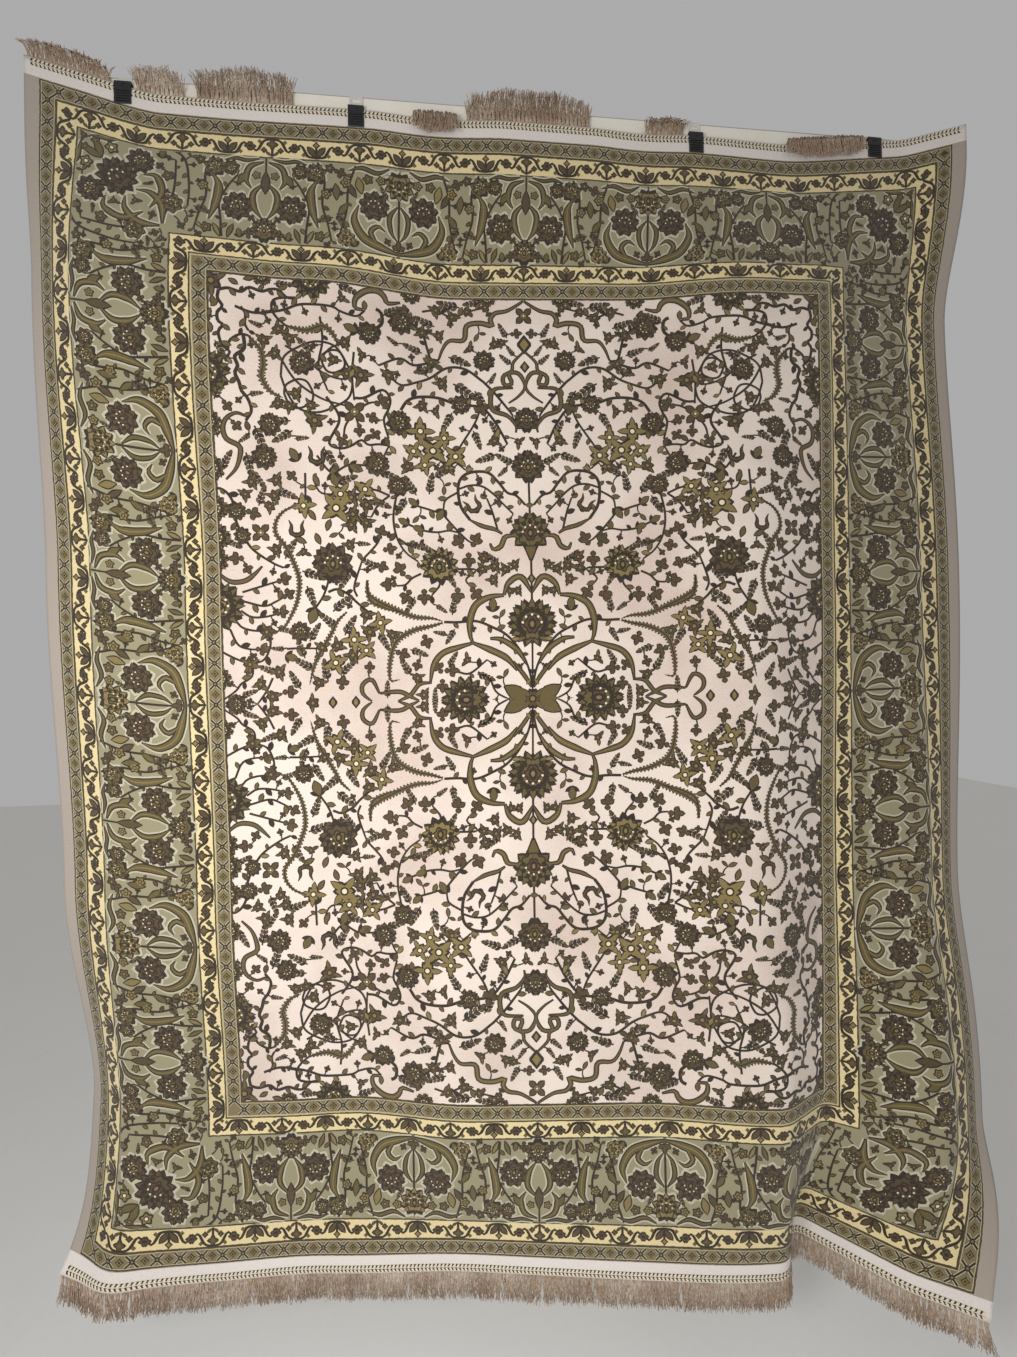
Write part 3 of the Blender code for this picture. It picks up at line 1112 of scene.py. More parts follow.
# The field's strokes in centimetres, each as its width and its points: x from the rug's axis
# outwards, y from its middle to an end
FIELD_STROKES = tuple(
    Stroke(StrokeKind(kind), *row)
    for kind, rows in (
        ("stem", (
            (0.7, ((75.6, 100.7), (73.5, 101.3), (70.6, 100.7), (68.7, 102), (65.8, 101.3), (63.8, 102),
                (61.8, 102), (59.9, 100.3), (57.8, 100.1))),
            (0.7, ((75.6, 100.7), (75.9, 98.6), (74.8, 96.8), (76, 95.2), (75.9, 93.2), (74.8, 92.3),
                (75.8, 90.9), (75.7, 89.2), (74.9, 87.3), (73.4, 86.1), (74.2, 84.7))),
            (0.6, ((72, 97.1), (69.4, 96.2), (67.2, 95.9), (63.9, 96.4), (60.6, 97.2), (57.2, 98.6),
                (53.8, 98.9), (49.1, 98.7), (47.1, 97.7), (43.3, 97), (41.2, 98.7))),
            (0.6, ((70.7, 97.1), (69.6, 95.5), (69.8, 93.1), (69, 91.5))),
            (0.6, ((57.8, 100.3), (61.2, 100.1), (63.2, 99.2), (63.4, 96.8), (61.9, 94.7), (60, 93.2))),
        )),
        ("feather", (
            (2.2, ((60, 93.2), (55.3, 92.4), (51.5, 93.7), (48.9, 91.8), (47.6, 88.8))),
            (2.2, ((68.9, 90.2), (67.3, 88.3), (66.1, 86.7), (65.8, 83.4), (66.3, 80.7), (64.4, 77.4),
                (61.4, 75.9))),
        )),
        ("stem", (
            (0.6, ((73.8, 86.7), (73.3, 88.8), (70.8, 90.5), (68.9, 90.2))),
            (0.8, ((70.2, 90.4), (70.1, 87.1), (72.3, 85.2), (71.7, 82.9), (72.4, 81.2), (71.5, 79),
                (71, 77), (69.7, 75.4), (68.9, 72.5), (70.3, 70.1))),
            (0.6, ((50.9, 76.5), (48.3, 72.9), (48, 70.2), (50.5, 65.3), (47.8, 64), (45, 64.8),
                (42.6, 66.3), (40.9, 65.2), (38.4, 65.5), (35.6, 65.3))),
            (0.5, ((52, 96), (51.5, 90), (52.5, 84), (50.5, 78))),
            (0.5, ((60.5, 88.5), (56, 86), (52, 82.5), (47, 81), (43, 82.5))),
        )),
        ("line", (
            (0.5, ((58.5, 82), (54, 83.5), (49.5, 88.5), (45, 90))),
            (0.5, ((62, 86), (58, 80), (52, 76), (46, 74.5))),
            (0.5, ((44, 88), (44.5, 82), (44.1, 76))),
            (0.5, ((44.1, 73.2), (40.6, 75.6), (37.7, 76.2))),
            (0.5, ((44.1, 73.2), (43.4, 70.6), (43, 69.1))),
            (0.5, ((44.1, 73.2), (46.4, 69.6), (46.9, 66.3))),
        )),
        ("stem", (
            (0.6, ((44.4, 76.6), (41.6, 76.9), (37.1, 79.3), (35.2, 77.2), (35.8, 74.3), (36.9, 71.7),
                (35.8, 67.1))),
        )),
        ("strap", (
            (1.5, ((41.6, 98.9), (43.5, 99.1), (43.3, 101.6), (40.8, 103.8), (38, 104.3), (36.3, 103.2),
                (35.4, 101.6), (32.2, 102.3))),
        )),
        ("stem", (
            (0.8, ((38.4, 99.6), (37.1, 98.8), (37.1, 95.9), (40.3, 93.6))),
        )),
        ("strap", (
            (1.2, ((70.2, 71.1), (72.5, 71.8), (74.8, 70.5), (75.8, 68.2), (75.1, 65.6), (72.2, 64),
                (72, 62), (73.2, 58.6), (75.7, 55.9))),
            (1.3, ((0, 104.5), (4.2, 102), (7.5, 101.3), (8.8, 99.5), (8.3, 98), (11.6, 98.7),
                (15, 97.9), (15.8, 94.2), (19.5, 93.9), (21.3, 91.8), (22.5, 88.7))),
        )),
        ("stem", (
            (0.6, ((22.5, 88.7), (24.7, 87.8), (29.1, 86.6), (32.6, 87.9), (38, 85.4))),
            (0.6, ((10.9, 83), (15.6, 86.4), (20.4, 86.6), (24.8, 83.7), (28.4, 82.2), (32.4, 81.1),
                (35.6, 83.2))),
            (0.6, ((10.9, 83), (8, 79.9), (4.5, 75.4), (3.5, 73.9))),
            (0.7, ((32.6, 74.6), (30.7, 77.3), (27.5, 78.5), (22.7, 78.5), (17.7, 76.9), (11.8, 76.2),
                (8.3, 72.4), (5.2, 66.4))),
        )),
        ("strap", (
            (1.1, ((0, 91.2), (3, 88.2), (3.4, 86), (5.7, 84.5), (5.4, 82.2), (3.5, 82.6), (4.2, 85.2),
                (1.6, 85.2), (0, 81.8), (1.8, 79.2), (4.5, 77.3))),
            (1.2, ((3.2, 81.4), (8, 81.1), (9.2, 78.4), (8.6, 75.4), (4.9, 73.9), (2.8, 71.2),
                (2.9, 69.4))),
        )),
        ("stem", (
            (0.6, ((24.5, 87.8), (25.5, 91.5), (26.7, 95.3), (29.5, 97.2), (32.1, 97.4))),
            (0.5, ((26.6, 100.9), (23, 101.6), (18.8, 100.1), (14.9, 101.6), (10.1, 102.8))),
            (0.6, ((33.4, 71.6), (30.5, 68.6), (27.7, 69.5), (24.6, 64.5), (21.1, 60.1))),
            (0.5, ((11.8, 76.6), (13.5, 72), (18.8, 63.1), (16.4, 59.6))),
            (0.5, ((53.6, 62.1), (50.1, 58), (45.9, 59.9), (38.9, 60.5), (35.8, 65.1))),
            (0.6, ((79.3, 52.7), (77.8, 53.8), (75.7, 52.7), (74.3, 50.1), (73.8, 45.6), (71.5, 40.7),
                (69.3, 38.1), (65.3, 35.4), (62.7, 34.2))),
            (0.5, ((72.9, 28.1), (68.0, 29.6), (63.1, 31.1))),
            (0.5, ((72.6, 25.8), (67.7, 24.6), (64.7, 25.7), (62, 27.3))),
            (0.5, ((73.4, 23.5), (70.8, 21.9), (67.4, 21.9), (63.6, 22.8))),
            (0.5, ((74.5, 20.8), (73.1, 19.3), (70.5, 18.5), (66.9, 18.3))),
            (0.5, ((76.1, 18.9), (74.3, 15.1), (71.7, 13.9), (68.7, 13.7))),
            (0.5, ((78.1, 13.2), (75.1, 11.6), (71.8, 10.2))),
        )),
        ("strap", (
            (1.2, ((78.8, 33.1), (76.6, 31.2), (74.7, 30.6), (72.1, 31), (70.2, 32.3), (67.9, 34.6))),
        )),
        ("stem", (
            (0.5, ((56.6, 57.8), (56.8, 51.4), (57.3, 49.7))),
        )),
        ("feather", (
            (1.7, ((59.1, 49.7), (62.2, 48.3), (64.2, 45.7), (64.3, 42.6), (62.1, 39.6), (60, 35),
                (58.9, 31.1), (59.4, 26.1), (61, 22.2), (62.9, 19.2), (65.2, 18), (67.1, 18.1))),
        )),
        ("stem", (
            (0.5, ((66.2, 16.9), (66.4, 14.2), (68, 11.1), (71.4, 10))),
            (0.5, ((70.7, 9.3), (71.1, 6.9), (73.8, 5.1), (75, 3.5), (78.1, 1.3))),
            (0.5, ((35.9, 52.6), (40.5, 54), (45.8, 51.9), (48.9, 52.5), (53, 53), (54.7, 56.3))),
            (0.5, ((35.9, 52.6), (38.8, 50.2), (40.7, 47))),
            (0.6, ((51.8, 28), (49.5, 28.7), (46.5, 27.2), (45, 25.6), (42.3, 23.2))),
            (0.5, ((54.9, 24.1), (52.6, 28), (50.5, 35.3))),
            (0.5, ((43.2, 36.1), (39.3, 40.4), (38.5, 42.8))),
            (0.5, ((44.6, 26.8), (45.3, 29.5), (43.2, 36.1))),
        )),
        ("feather", (
            (1.5, ((42.2, 30.7), (41.5, 26), (38.1, 24), (34, 22.8))),
            (1.6, ((47.3, 22.9), (49.6, 20.6), (51.2, 17.5), (55.1, 10.6), (56.8, 4.7))),
        )),
        ("stem", (
            (0.5, ((65.9, 6.5), (67.4, 3.4), (69.8, 0))),
            (0.5, ((62.3, 13.8), (58.9, 13.9), (55.1, 13.8))),
        )),
        ("line", (
            (0.5, ((0, 57), (0, 28), (0, 0))),
        )),
        ("strap", (
            (1.3, ((3.7, 42.2), (6.5, 41.9), (7.7, 39.5), (9.7, 38.7), (10.5, 40.3))),
            (1.1, ((7.3, 42.7), (9.2, 43.9), (12.4, 44.8), (15.5, 46.4))),
        )),
        ("stem", (
            (0.5, ((8.4, 43.5), (9.1, 46.3), (9.9, 49.1), (11, 52))),
            (0.7, ((15.5, 46.4), (17.8, 50), (18.4, 54.5), (17.6, 57.3), (15.1, 58.9), (10.7, 58.9),
                (8, 56.4), (5.7, 53.5), (3.4, 52.7), (1.1, 50.2))),
            (0.5, ((18.4, 54.5), (15.2, 55.5), (12.1, 55.2), (9.3, 53.2), (7, 50.7), (4.3, 47.9))),
            (0.5, ((18.5, 53.7), (21.7, 51.7), (22.3, 49.3))),
            (0.5, ((22.6, 48.1), (19.5, 44.4), (16.4, 41.2), (14.9, 40.4))),
            (0.5, ((31.2, 45.2), (27.4, 43.7), (23.9, 43.3), (21.1, 43.7), (18.7, 43.2))),
            (0.5, ((28.8, 50), (26.1, 49.2), (22.9, 48.1))),
            (0.5, ((23.7, 30.8), (23.8, 29.4), (25.8, 27))),
            (0.5, ((28.4, 32.6), (30.8, 31.4), (32.4, 29.8), (34.7, 29.5))),
            (0.5, ((19, 33.7), (14.2, 33.4), (17, 30.9), (14.7, 28.5))),
            (0.5, ((33.7, 55), (35.1, 47.5), (34.4, 42), (32.2, 38.1), (29.1, 35.7))),
            (0.6, ((34, 41.6), (31, 39.7), (28.6, 40.1))),
        )),
        ("feather", (
            (2.0, ((42, 31), (42, 27.9), (40.1, 26), (36.3, 24), (30.5, 21.6), (25.8, 21.1),
                (23.1, 20.3))),
            (2.0, ((23.1, 19.9), (25.9, 19.1), (30.6, 18), (34.9, 15.3), (36.5, 10.3), (36.5, 5.5),
                (34.2, 5.5))),
        )),
        ("stem", (
            (0.6, ((22.7, 20.1), (19.2, 20), (14.4, 20.2), (10.1, 18.5), (6.6, 16.5), (3.4, 12.8),
                (1.1, 8.1), (0, 2.9))),
        )),
        ("strap", (
            (1.7, ((7.2, 26.8), (10.8, 26.4), (14.4, 24.5), (16, 20.6), (16, 16.6), (15.3, 14.6))),
            (1.5, ((15.3, 14.6), (19.2, 13.5), (23.2, 12), (25.5, 8.9), (26.3, 4.6))),
            (1.6, ((15.3, 14.6), (10.5, 12.6), (6.6, 10.5), (3.9, 7.3))),
            (1.1, ((5, 9.7), (1.9, 5.7), (0.3, 2.9))),
            (1.5, ((7.2, 26.8), (6, 29.9), (2.8, 31.5), (0, 27.4))),
            (1.4, ((10.9, 15.7), (7.8, 15.3), (3.8, 12.5), (1.5, 8.9))),
        )),
        ("stem", (
            (0.5, ((19.2, 7.2), (16.1, 6.8), (11.7, 10.2))),
            (0.5, ((14.1, 7.1), (11, 5.1), (9.4, 1.9), (6.3, 0))),
        )),
        ("strap", (
            (1.1, ((39.3, 2.1), (41.2, 5.6), (43.5, 4.5), (43.5, 2.1), (41.2, 0))),
            (1.1, ((39.3, 2.1), (34.2, 2.4), (31.4, 1.1), (29.1, 0))),
            (1.1, ((25.9, 4.6), (29.1, 4.2), (31.4, 1.5), (34.6, 0))),
        )),
    )
    for row in rows
)

# The field's flowers in the same places, each as x, y, radius and the way it opens
FIELD_BLOOMS = tuple(
    Bloom(BloomKind(kind), *row)
    for kind, rows in (
        ("rosette", ((77.3, 102.7, 2.0),)),
        ("half", (
            (54.1, 105.1, 4.2, -90), (78.8, 81.1, 4.6, 180), (78.8, 49.0, 2.8, 180),
            (78.8, 41.9, 3.0, 180), (79.2, 36.2, 2.8, 180), (78.6, 24.7, 5.3, 180),
        )),
        ("leaf", (
            (73.5, 103.7, 1.7, 200), (70.1, 103.9, 1.7, 160), (66.7, 104.5, 1.7, 200),
            (77.3, 99.3, 1.8, 250), (77.4, 96.1, 1.8, 290), (78.1, 93.0, 1.8, 250),
        )),
        ("ring", ((53.1, 81.2, 8.6), (57.5, 77.0, 3.5), (49.0, 85.2, 2.8))),
        ("rosette", (
            (63.0, 86.4, 1.2), (59.4, 90.2, 1.2), (62.0, 92.4, 1.2), (65.5, 89.5, 1.2), (46.2, 90.1, 1.2),
            (49.0, 85.6, 1.1), (45.8, 82.4, 1.3), (42.4, 82.4, 1.7), (35.4, 83.2, 1.3), (58.2, 77.0, 1.2),
            (54.7, 74.2, 1.1), (62.5, 74.5, 1.2), (59.8, 73.9, 1.1), (53.8, 70.6, 1.7),
        )),
        ("wheel", ((44.1, 73.2, 2.6),)),
        ("star", (
            (37.7, 76.2, 1.6, 150), (40.2, 72.3, 1.3, 200), (43.0, 69.1, 1.3, 270),
            (46.9, 66.3, 1.4, 300), (39.4, 68.3, 1.3, 230),
        )),
        ("palmette", (
            (64.7, 69.3, 2.4, 140), (66.4, 61.5, 2.6, 230), (40.3, 93.2, 2.4, 250), (56.5, 84.5, 2.6, 60),
        )),
        ("tulip", ((53.6, 62.1, 3.2, 90),)),
        ("palmette", ((38.9, 60.5, 2.6, 200), (33.2, 71.3, 2.7, 160))),
        ("bud", (
            (42.9, 93.2, 2.4, 20), (58.2, 60.6, 2.4, 60), (50.1, 58.0, 2.4, 250), (45.9, 59.9, 2.4, 200),
        )),
        ("wheel", ((0.0, 100.6, 2.2),)),
        ("lozenge", ((0.0, 93.0, 2.6), (0.0, 87.0, 1.6))),
        ("palmette", ((0.0, 72.7, 2.8, 90), (0.0, 60.3, 3.6, 90))),
        ("rosette", (
            (24.5, 87.8, 1.2), (18.8, 100.1, 1.2), (14.9, 101.6, 1.0), (10.1, 102.8, 1.0),
            (23.0, 101.6, 1.2), (26.7, 95.3, 1.2), (22.4, 95.0, 1.1), (35.6, 83.2, 1.2),
            (21.9, 82.4, 1.3), (27.2, 76.1, 1.2), (7.7, 93.1, 1.1), (5.8, 93.5, 0.9), (8.5, 67.2, 1.2),
        )),
        ("palmette", ((32.1, 97.4, 2.8, 200), (10.6, 88.6, 2.4, 60), (17.0, 77.0, 2.2, 270))),
        ("star", ((11.8, 76.6, 1.8, 250),)),
        ("gold", (
            (27.7, 69.5, 2.0), (24.6, 64.5, 2.2), (18.8, 63.1, 1.9), (21.6, 67.9, 1.6), (29.6, 64.2, 1.6),
        )),
        ("rosette", ((31.2, 60.2, 1.3),)),
        ("gold", ((26.8, 60.7, 1.5),)),
        ("rosette", ((21.1, 60.1, 1.4),)),
        ("palmette", ((73.7, 48.3, 2.0, 250),)),
        ("star", ((70.0, 47.9, 1.5, 200),)),
        ("palmette", ((72.5, 42.3, 1.8, 300),)),
        ("star", ((73.8, 36.6, 1.5, 0),)),
        ("wheel", ((68.0, 43.0, 2.2),)),
        ("star", (
            (63.1, 31.1, 1.5, 160), (62.0, 27.3, 1.4, 150), (63.6, 22.8, 1.3, 170),
            (66.9, 18.3, 1.3, 180), (68.7, 13.7, 1.3, 190),
        )),
        ("bud", ((71.8, 10.2, 1.8, 200),)),
        ("gold", ((57.3, 49.7, 1.7),)),
        ("rosette", ((67.1, 18.1, 1.3), (71.4, 10.0, 1.3))),
        ("tulip", ((59.2, 44.0, 3.0, 90),)),
        ("palmette", ((50.5, 35.3, 4.2, 90),)),
        ("leaf", (
            (53.4, 40.0, 2.0, 60), (56.8, 40.4, 2.0, 20), (51.8, 43.4, 2.0, 100), (54.4, 46.1, 2.0, 50),
        )),
        ("gold", ((48.1, 52.7, 1.8),)),
        ("rosette", ((45.5, 51.9, 1.4),)),
        ("gold", ((42.0, 54.0, 1.7),)),
        ("rosette", ((45.2, 47.7, 1.4), (41.7, 50.1, 1.4), (41.9, 45.5, 1.3))),
        ("gold", ((49.3, 49.2, 2.3),)),
        ("rosette", ((45.7, 45.0, 1.3),)),
        ("leaf", ((50.6, 57.5, 2.0, 130), (53.3, 54.5, 2.0, 60))),
        ("rosette", (
            (46.2, 40.0, 1.1), (63.7, 55.9, 1.2), (69.7, 55.4, 1.2), (71.3, 52.4, 1.1), (64.3, 52.1, 1.2),
            (65.5, 49.5, 1.1), (64.4, 38.8, 1.2),
        )),
        ("palmette", ((58.8, 18.0, 2.2, 90),)),
        ("bud", ((54.9, 24.1, 2.8, 290),)),
        ("star", ((38.5, 42.8, 1.5, 110), (36.6, 38.9, 1.4, 170), (38.7, 34.6, 1.4, 200))),
        ("rosette", ((42.3, 22.1, 1.3),)),
        ("gold", ((38.9, 20.1, 1.6),)),
        ("rosette", ((41.6, 17.8, 1.4),)),
        ("gold", ((45.5, 15.9, 1.8),)),
        ("rosette", ((35.8, 16.9, 1.2), (49.7, 14.4, 1.3))),
        ("gold", ((42.5, 13.1, 1.6),)),
        ("rosette", ((53.5, 14.0, 1.2),)),
        ("gold", ((50.2, 10.1, 1.8),)),
        ("rosette", ((45.9, 12.0, 1.3), (54.5, 5.1, 1.2))),
        ("bud", ((62.7, 12.2, 2.2, 200),)),
        ("rosette", ((64.3, 8.0, 1.3), (68.9, 5.0, 1.2), (66.0, 1.8, 1.3))),
        ("star", ((62.1, 2.9, 1.5, 180),)),
        ("palmette", ((75.1, 0.0, 2.2, 180),)),
        ("star", ((48.7, 4.6, 1.5, 100),)),
        ("lozenge", ((51.1, 0.0, 1.6), (45.3, 0.0, 1.6))),
        ("rosette", ((56.1, 0.0, 1.3),)),
        ("vase", ((0.0, 43.0, 4.6, 90),)),
        ("lozenge", ((0.0, 31.0, 1.4),)),
        ("medallion", ((0.0, 19.5, 5.0, 90), (17.3, 0.0, 4.8, 0))),
        ("tulip", ((14.6, 50.4, 3.0, 60),)),
        ("bud", (
            (22.3, 49.3, 2.2, 300), (27.4, 43.7, 2.0, 20), (31.2, 45.2, 2.0, 30), (28.8, 50.0, 2.0, 40),
        )),
        ("star", (
            (18.4, 40.4, 1.6, 60), (14.4, 40.8, 1.6, 120), (16.1, 36.4, 1.6, 270), (36.2, 29.9, 1.6, 0),
            (33.5, 33.4, 1.6, 60), (32.0, 27.1, 1.6, 300), (27.7, 27.1, 1.6, 270), (19.1, 27.4, 1.6, 270),
            (14.7, 27.7, 1.6, 230),
        )),
        ("lotus", ((23.7, 34.5, 3.9, 90),)),
        ("rosette", (
            (12.2, 36.4, 1.2), (12.6, 33.6, 1.1), (9.5, 34.3, 1.2), (9.9, 30.8, 1.1), (6.7, 33.5, 1.1),
            (4.3, 34.7, 1.0),
        )),
        ("palmette", ((33.7, 55.0, 2.3, 90),)),
        ("rosette", ((5.6, 27.9, 0.9), (3.6, 27.9, 0.9))),
        ("star", ((33.7, 12.2, 1.5, 200), (27.4, 15.6, 1.5, 250))),
        ("bud", ((10.1, 22.5, 2.4, 90),)),
        ("star", ((21.2, 7.6, 1.5, 180), (24.0, 8.1, 1.4, 60), (23.2, 4.1, 1.4, 270))),
        ("leaf", ((7.4, 3.4, 4.6, 205),)),
        ("rosette", ((27.9, 1.5, 1.1), (29.5, 5.8, 1.1), (0.0, 0.0, 2.0))),
        ("spray", (
            (29.5, 98.5, 3.4, 60), (25.8, 98.2, 2.8, 20), (34.5, 99.5, 2.8, 150), (19.5, 103.2, 3.0, 10),
            (13.0, 104.0, 2.6, 350), (45.5, 103.6, 2.8, 200), (29.0, 90.8, 2.6, 20),
            (17.4, 88.6, 3.0, 200), (26.0, 85.8, 2.8, 340), (16.2, 80.6, 3.6, 215),
            (12.0, 78.4, 2.8, 240), (67.4, 66.2, 3.2, 250), (61.5, 66.8, 2.8, 330),
            (70.2, 59.8, 3.0, 260), (68.3, 56.2, 2.6, 230), (62.0, 70.4, 2.6, 0), (55.4, 88.6, 2.6, 40),
            (50.4, 61.4, 3.0, 240), (36.2, 57.8, 2.8, 200), (76.4, 76.6, 2.4, 120),
            (75.8, 86.8, 2.2, 240), (60.8, 103.4, 2.4, 180), (75.5, 60.3, 2.6, 120),
            (77.4, 67.8, 2.2, 80), (5.4, 96.4, 2.2, 60), (4.8, 88.8, 2.0, 40), (5.8, 62.2, 2.6, 30),
            (10.6, 62.8, 2.8, 340), (8.2, 70.2, 2.4, 60), (20.6, 72.6, 2.8, 300), (13.2, 67.8, 2.6, 250),
            (61.6, 52.6, 2.8, 200), (67.4, 51.8, 2.6, 110), (75.2, 40.4, 2.2, 210),
            (61.0, 38.6, 2.8, 120), (55.6, 32.4, 3.0, 200), (47.6, 31.2, 2.6, 300),
            (56.2, 27.2, 2.8, 250), (41.2, 35.2, 2.6, 30), (46.8, 56.2, 2.8, 160), (38.6, 50.6, 2.8, 200),
            (33.0, 50.2, 2.6, 300), (30.4, 55.0, 2.8, 60), (25.4, 55.6, 2.8, 100), (22.6, 58.6, 2.4, 150),
            (29.6, 39.8, 2.6, 200), (26.4, 38.8, 2.4, 40), (21.0, 31.4, 2.4, 240), (10.4, 36.6, 2.2, 40),
            (20.2, 24.0, 2.4, 100), (31.2, 24.8, 2.4, 300), (48.6, 24.8, 3.0, 140), (51.8, 20.8, 2.8, 40),
            (46.6, 19.2, 2.8, 120), (52.6, 8.0, 2.8, 80), (57.8, 9.8, 2.8, 30), (60.2, 5.6, 2.6, 60),
            (47.4, 8.6, 2.6, 140), (58.6, 13.6, 2.6, 70), (55.4, 17.6, 2.6, 120), (62.8, 18.6, 2.2, 200),
            (66.8, 8.6, 2.4, 20), (72.0, 2.6, 2.2, 160), (38.2, 15.6, 2.6, 240), (32.4, 8.6, 2.6, 60),
            (29.4, 12.4, 2.4, 200), (21.0, 16.6, 2.2, 300), (20.6, 10.2, 2.2, 120), (12.2, 5.8, 2.4, 200),
            (37.2, 2.8, 2.2, 90), (25.0, 1.0, 2.0, 90),
        )),
        ("half", (
            (65.8, 105.2, 2.2, -90), (29.5, 105.2, 2.4, -90), (9.5, 105.2, 2.0, -90),
            (78.8, 69.5, 2.4, 180), (78.8, 58.5, 2.6, 180), (78.8, 6.5, 2.4, 180),
        )),
    )
    for row in rows
)


class Guard(NamedTuple):
    """An ivory guard: how deep its middle lies, half its width, and its pins' pitches."""

    depth: float
    half: float
    pitch_end: float
    pitch_side: float


class Row(NamedTuple):
    """A row of border units along an end, or upright along a side.

    It is so far out, has so many units on either side of its middle one, and so much from one
    to the next.
    """

    out: float
    count: int
    pitch: float
    upright: bool


@dataclass
class Design:
    """The rug's whole pattern, drawn flat in centimetres from its middle."""

    pile_width: float = 118.6
    pile_length: float = 145.5
    field_width: float = 78.1
    field_length: float = 104.8
    main_middle: float = 20.65
    main_half: float = 11.15
    main_pitch_end: float = 32.65
    main_pitch_side: float = 31.2
    guards: tuple[Guard, ...] = (Guard(6.75, 2.35, 10.17, 9.9), Guard(34.0, 2.05, 10.58, 10.12))
    minors: tuple[float, ...] = (2.2, 38.5)
    minor_pitch: float = 5.2
    cross_half: float = 1.35
    dash_rows: tuple[tuple[float, float], ...] = ((149.3, 0.28), (148.3, -0.28))
    dash_pitch: float = 1.0
    dash_count: int = 120
    vine_width: float = 0.5
    vine_size: float = 0.9
    gap_margin: float = 1.2

    def areas(self) -> dict[str, Drawing]:
        """Draws every part of the design.

        Returns:
            The shapes of the field, the main border and the guards with the ends.
        """
        centre, border, edges = Drawing(), Drawing(), Drawing()
        quarter = self._field_quarter()
        for side in (1, -1):
            for end in (1, -1):
                centre.stamp(quarter, lambda p, way=(side, end): p * way)
        self._main_border(border)
        self._guards(edges)
        self._twining(edges)
        return {"field": centre, "border": border, "edges": edges}

    def _field_quarter(self) -> Drawing:
        """Draws one quarter of the field.

        Returns:
            The quarter, cut off at the axes and at the field's edge.
        """
        pen = Pen()
        for stroke in FIELD_STROKES:
            self._stroke(pen, stroke)
        for bloom in FIELD_BLOOMS:
            self._bloom(pen, bloom)
        limit = (self.field_width, self.field_length)
        high = (limit[0] - self.gap_margin, limit[1] - self.gap_margin)
        pen.fill_gaps((1.6, 1.6), high, clear=1.75, size=1.75, seed=5)
        cut = Drawing()
        cut.stamp(pen.drawing, lambda p: np.clip(p, (0.0, 0.0), limit))
        return cut

    @staticmethod
    def _stroke(pen: Pen, stroke: Stroke) -> None:
        """Draws one stroke of the field.

        Args:
            pen: what draws it.
            stroke: the stroke.
        """
        kind, width, points = stroke
        if kind is StrokeKind.STEM:
            pen.vine(points, width, 1.15)
        elif kind is StrokeKind.LINE:
            pen.stem(points, width)
        elif kind is StrokeKind.FEATHER:
            pen.feather(points, width)
        else:
            pen.arabesque(points, (0.5 * width, width, width, 0.4 * width), 0.28)

    @staticmethod
    def _bloom(pen: Pen, bloom: Bloom) -> None:
        """Draws one flower of the field.

        Args:
            pen: what draws it.
            bloom: the flower.
        """
        kind, x, y, size, angle = bloom
        if kind in PALMETTES:
            form = PALMETTES[kind]
            pen.palmette(x, y, angle, size * form.size, *form[1:])
        if kind is BloomKind.ROSETTE:
            pen.flower(x, y, size * 1.4, Tone.BROWN)
            for k in range(3):
                way = 40 + 120 * k + 20 * x
                pen.leaf(x, y, way, size * 2.1, size * 0.7, 0.2, Tone.OLIVE, edge=0.2)
        elif kind is BloomKind.GOLD:
            for k in range(4):
                way = 30 + 90 * k + 15 * x
                pen.leaf(x, y, way, size * 2.0, size * 0.8, 0.3, Tone.GOLD, edge=0.2)
            pen.flower(x, y, size * 1.35, Tone.GOLD, Tone.IVORY, 6)
        elif kind is BloomKind.WHEEL:
            for k in range(4):
                pen.leaf(x, y, 45 + 90 * k, size * 1.3, size * 0.8, 0.0, Tone.BROWN)
            pen.flower(x, y, size * 0.55, Tone.GOLD, Tone.IVORY, 4)
        elif kind is BloomKind.STAR:
            pen.star(x, y, size * 1.5, angle)
        elif kind is BloomKind.LEAF:
            pen.leaf(x, y, angle, size * 1.6, size * 0.8, 0.25 * size, Tone.OLIVE)
        elif kind is BloomKind.BUD:
            pen.bud(x, y, angle, size * 1.6)
        elif kind is BloomKind.SPRAY:
            pen.spray(x, y, angle, size)
        elif kind is BloomKind.TULIP:
            pen.tulip(x, y, angle, size * 1.15)
        elif kind is BloomKind.LOZENGE:
            for tone, reach, ends, wide in ((Tone.DARK, 1.0, 0.1, 1.5), (Tone.GOLD, 0.6, 0.05, 0.8)):
                line = ((x, y - size * reach), (x, y + size * reach))
                pen.ribbon(tone, line, (ends, size * wide, ends))
        elif kind is BloomKind.RING:
            turns = [math.radians(30 * k) for k in range(13)]
            wander = [size * (1 + 0.05 * math.sin(4 * a)) for a in turns]
            around = [(x + r * math.cos(a), y + r * math.sin(a)) for r, a in zip(wander, turns)]
            pen.ribbon(Tone.DARK, around, (0.5, 0.5))
        elif kind is BloomKind.VASE:
            pen.ribbon(Tone.DARK, ((x, y - 1.6 * size), (x, y)), (0.8, 3.4, 2.2))
            pen.ribbon(Tone.OLIVE, ((x, y - 1.5 * size), (x, y - 0.3 * size)), (0.3, 2.4, 1.0))

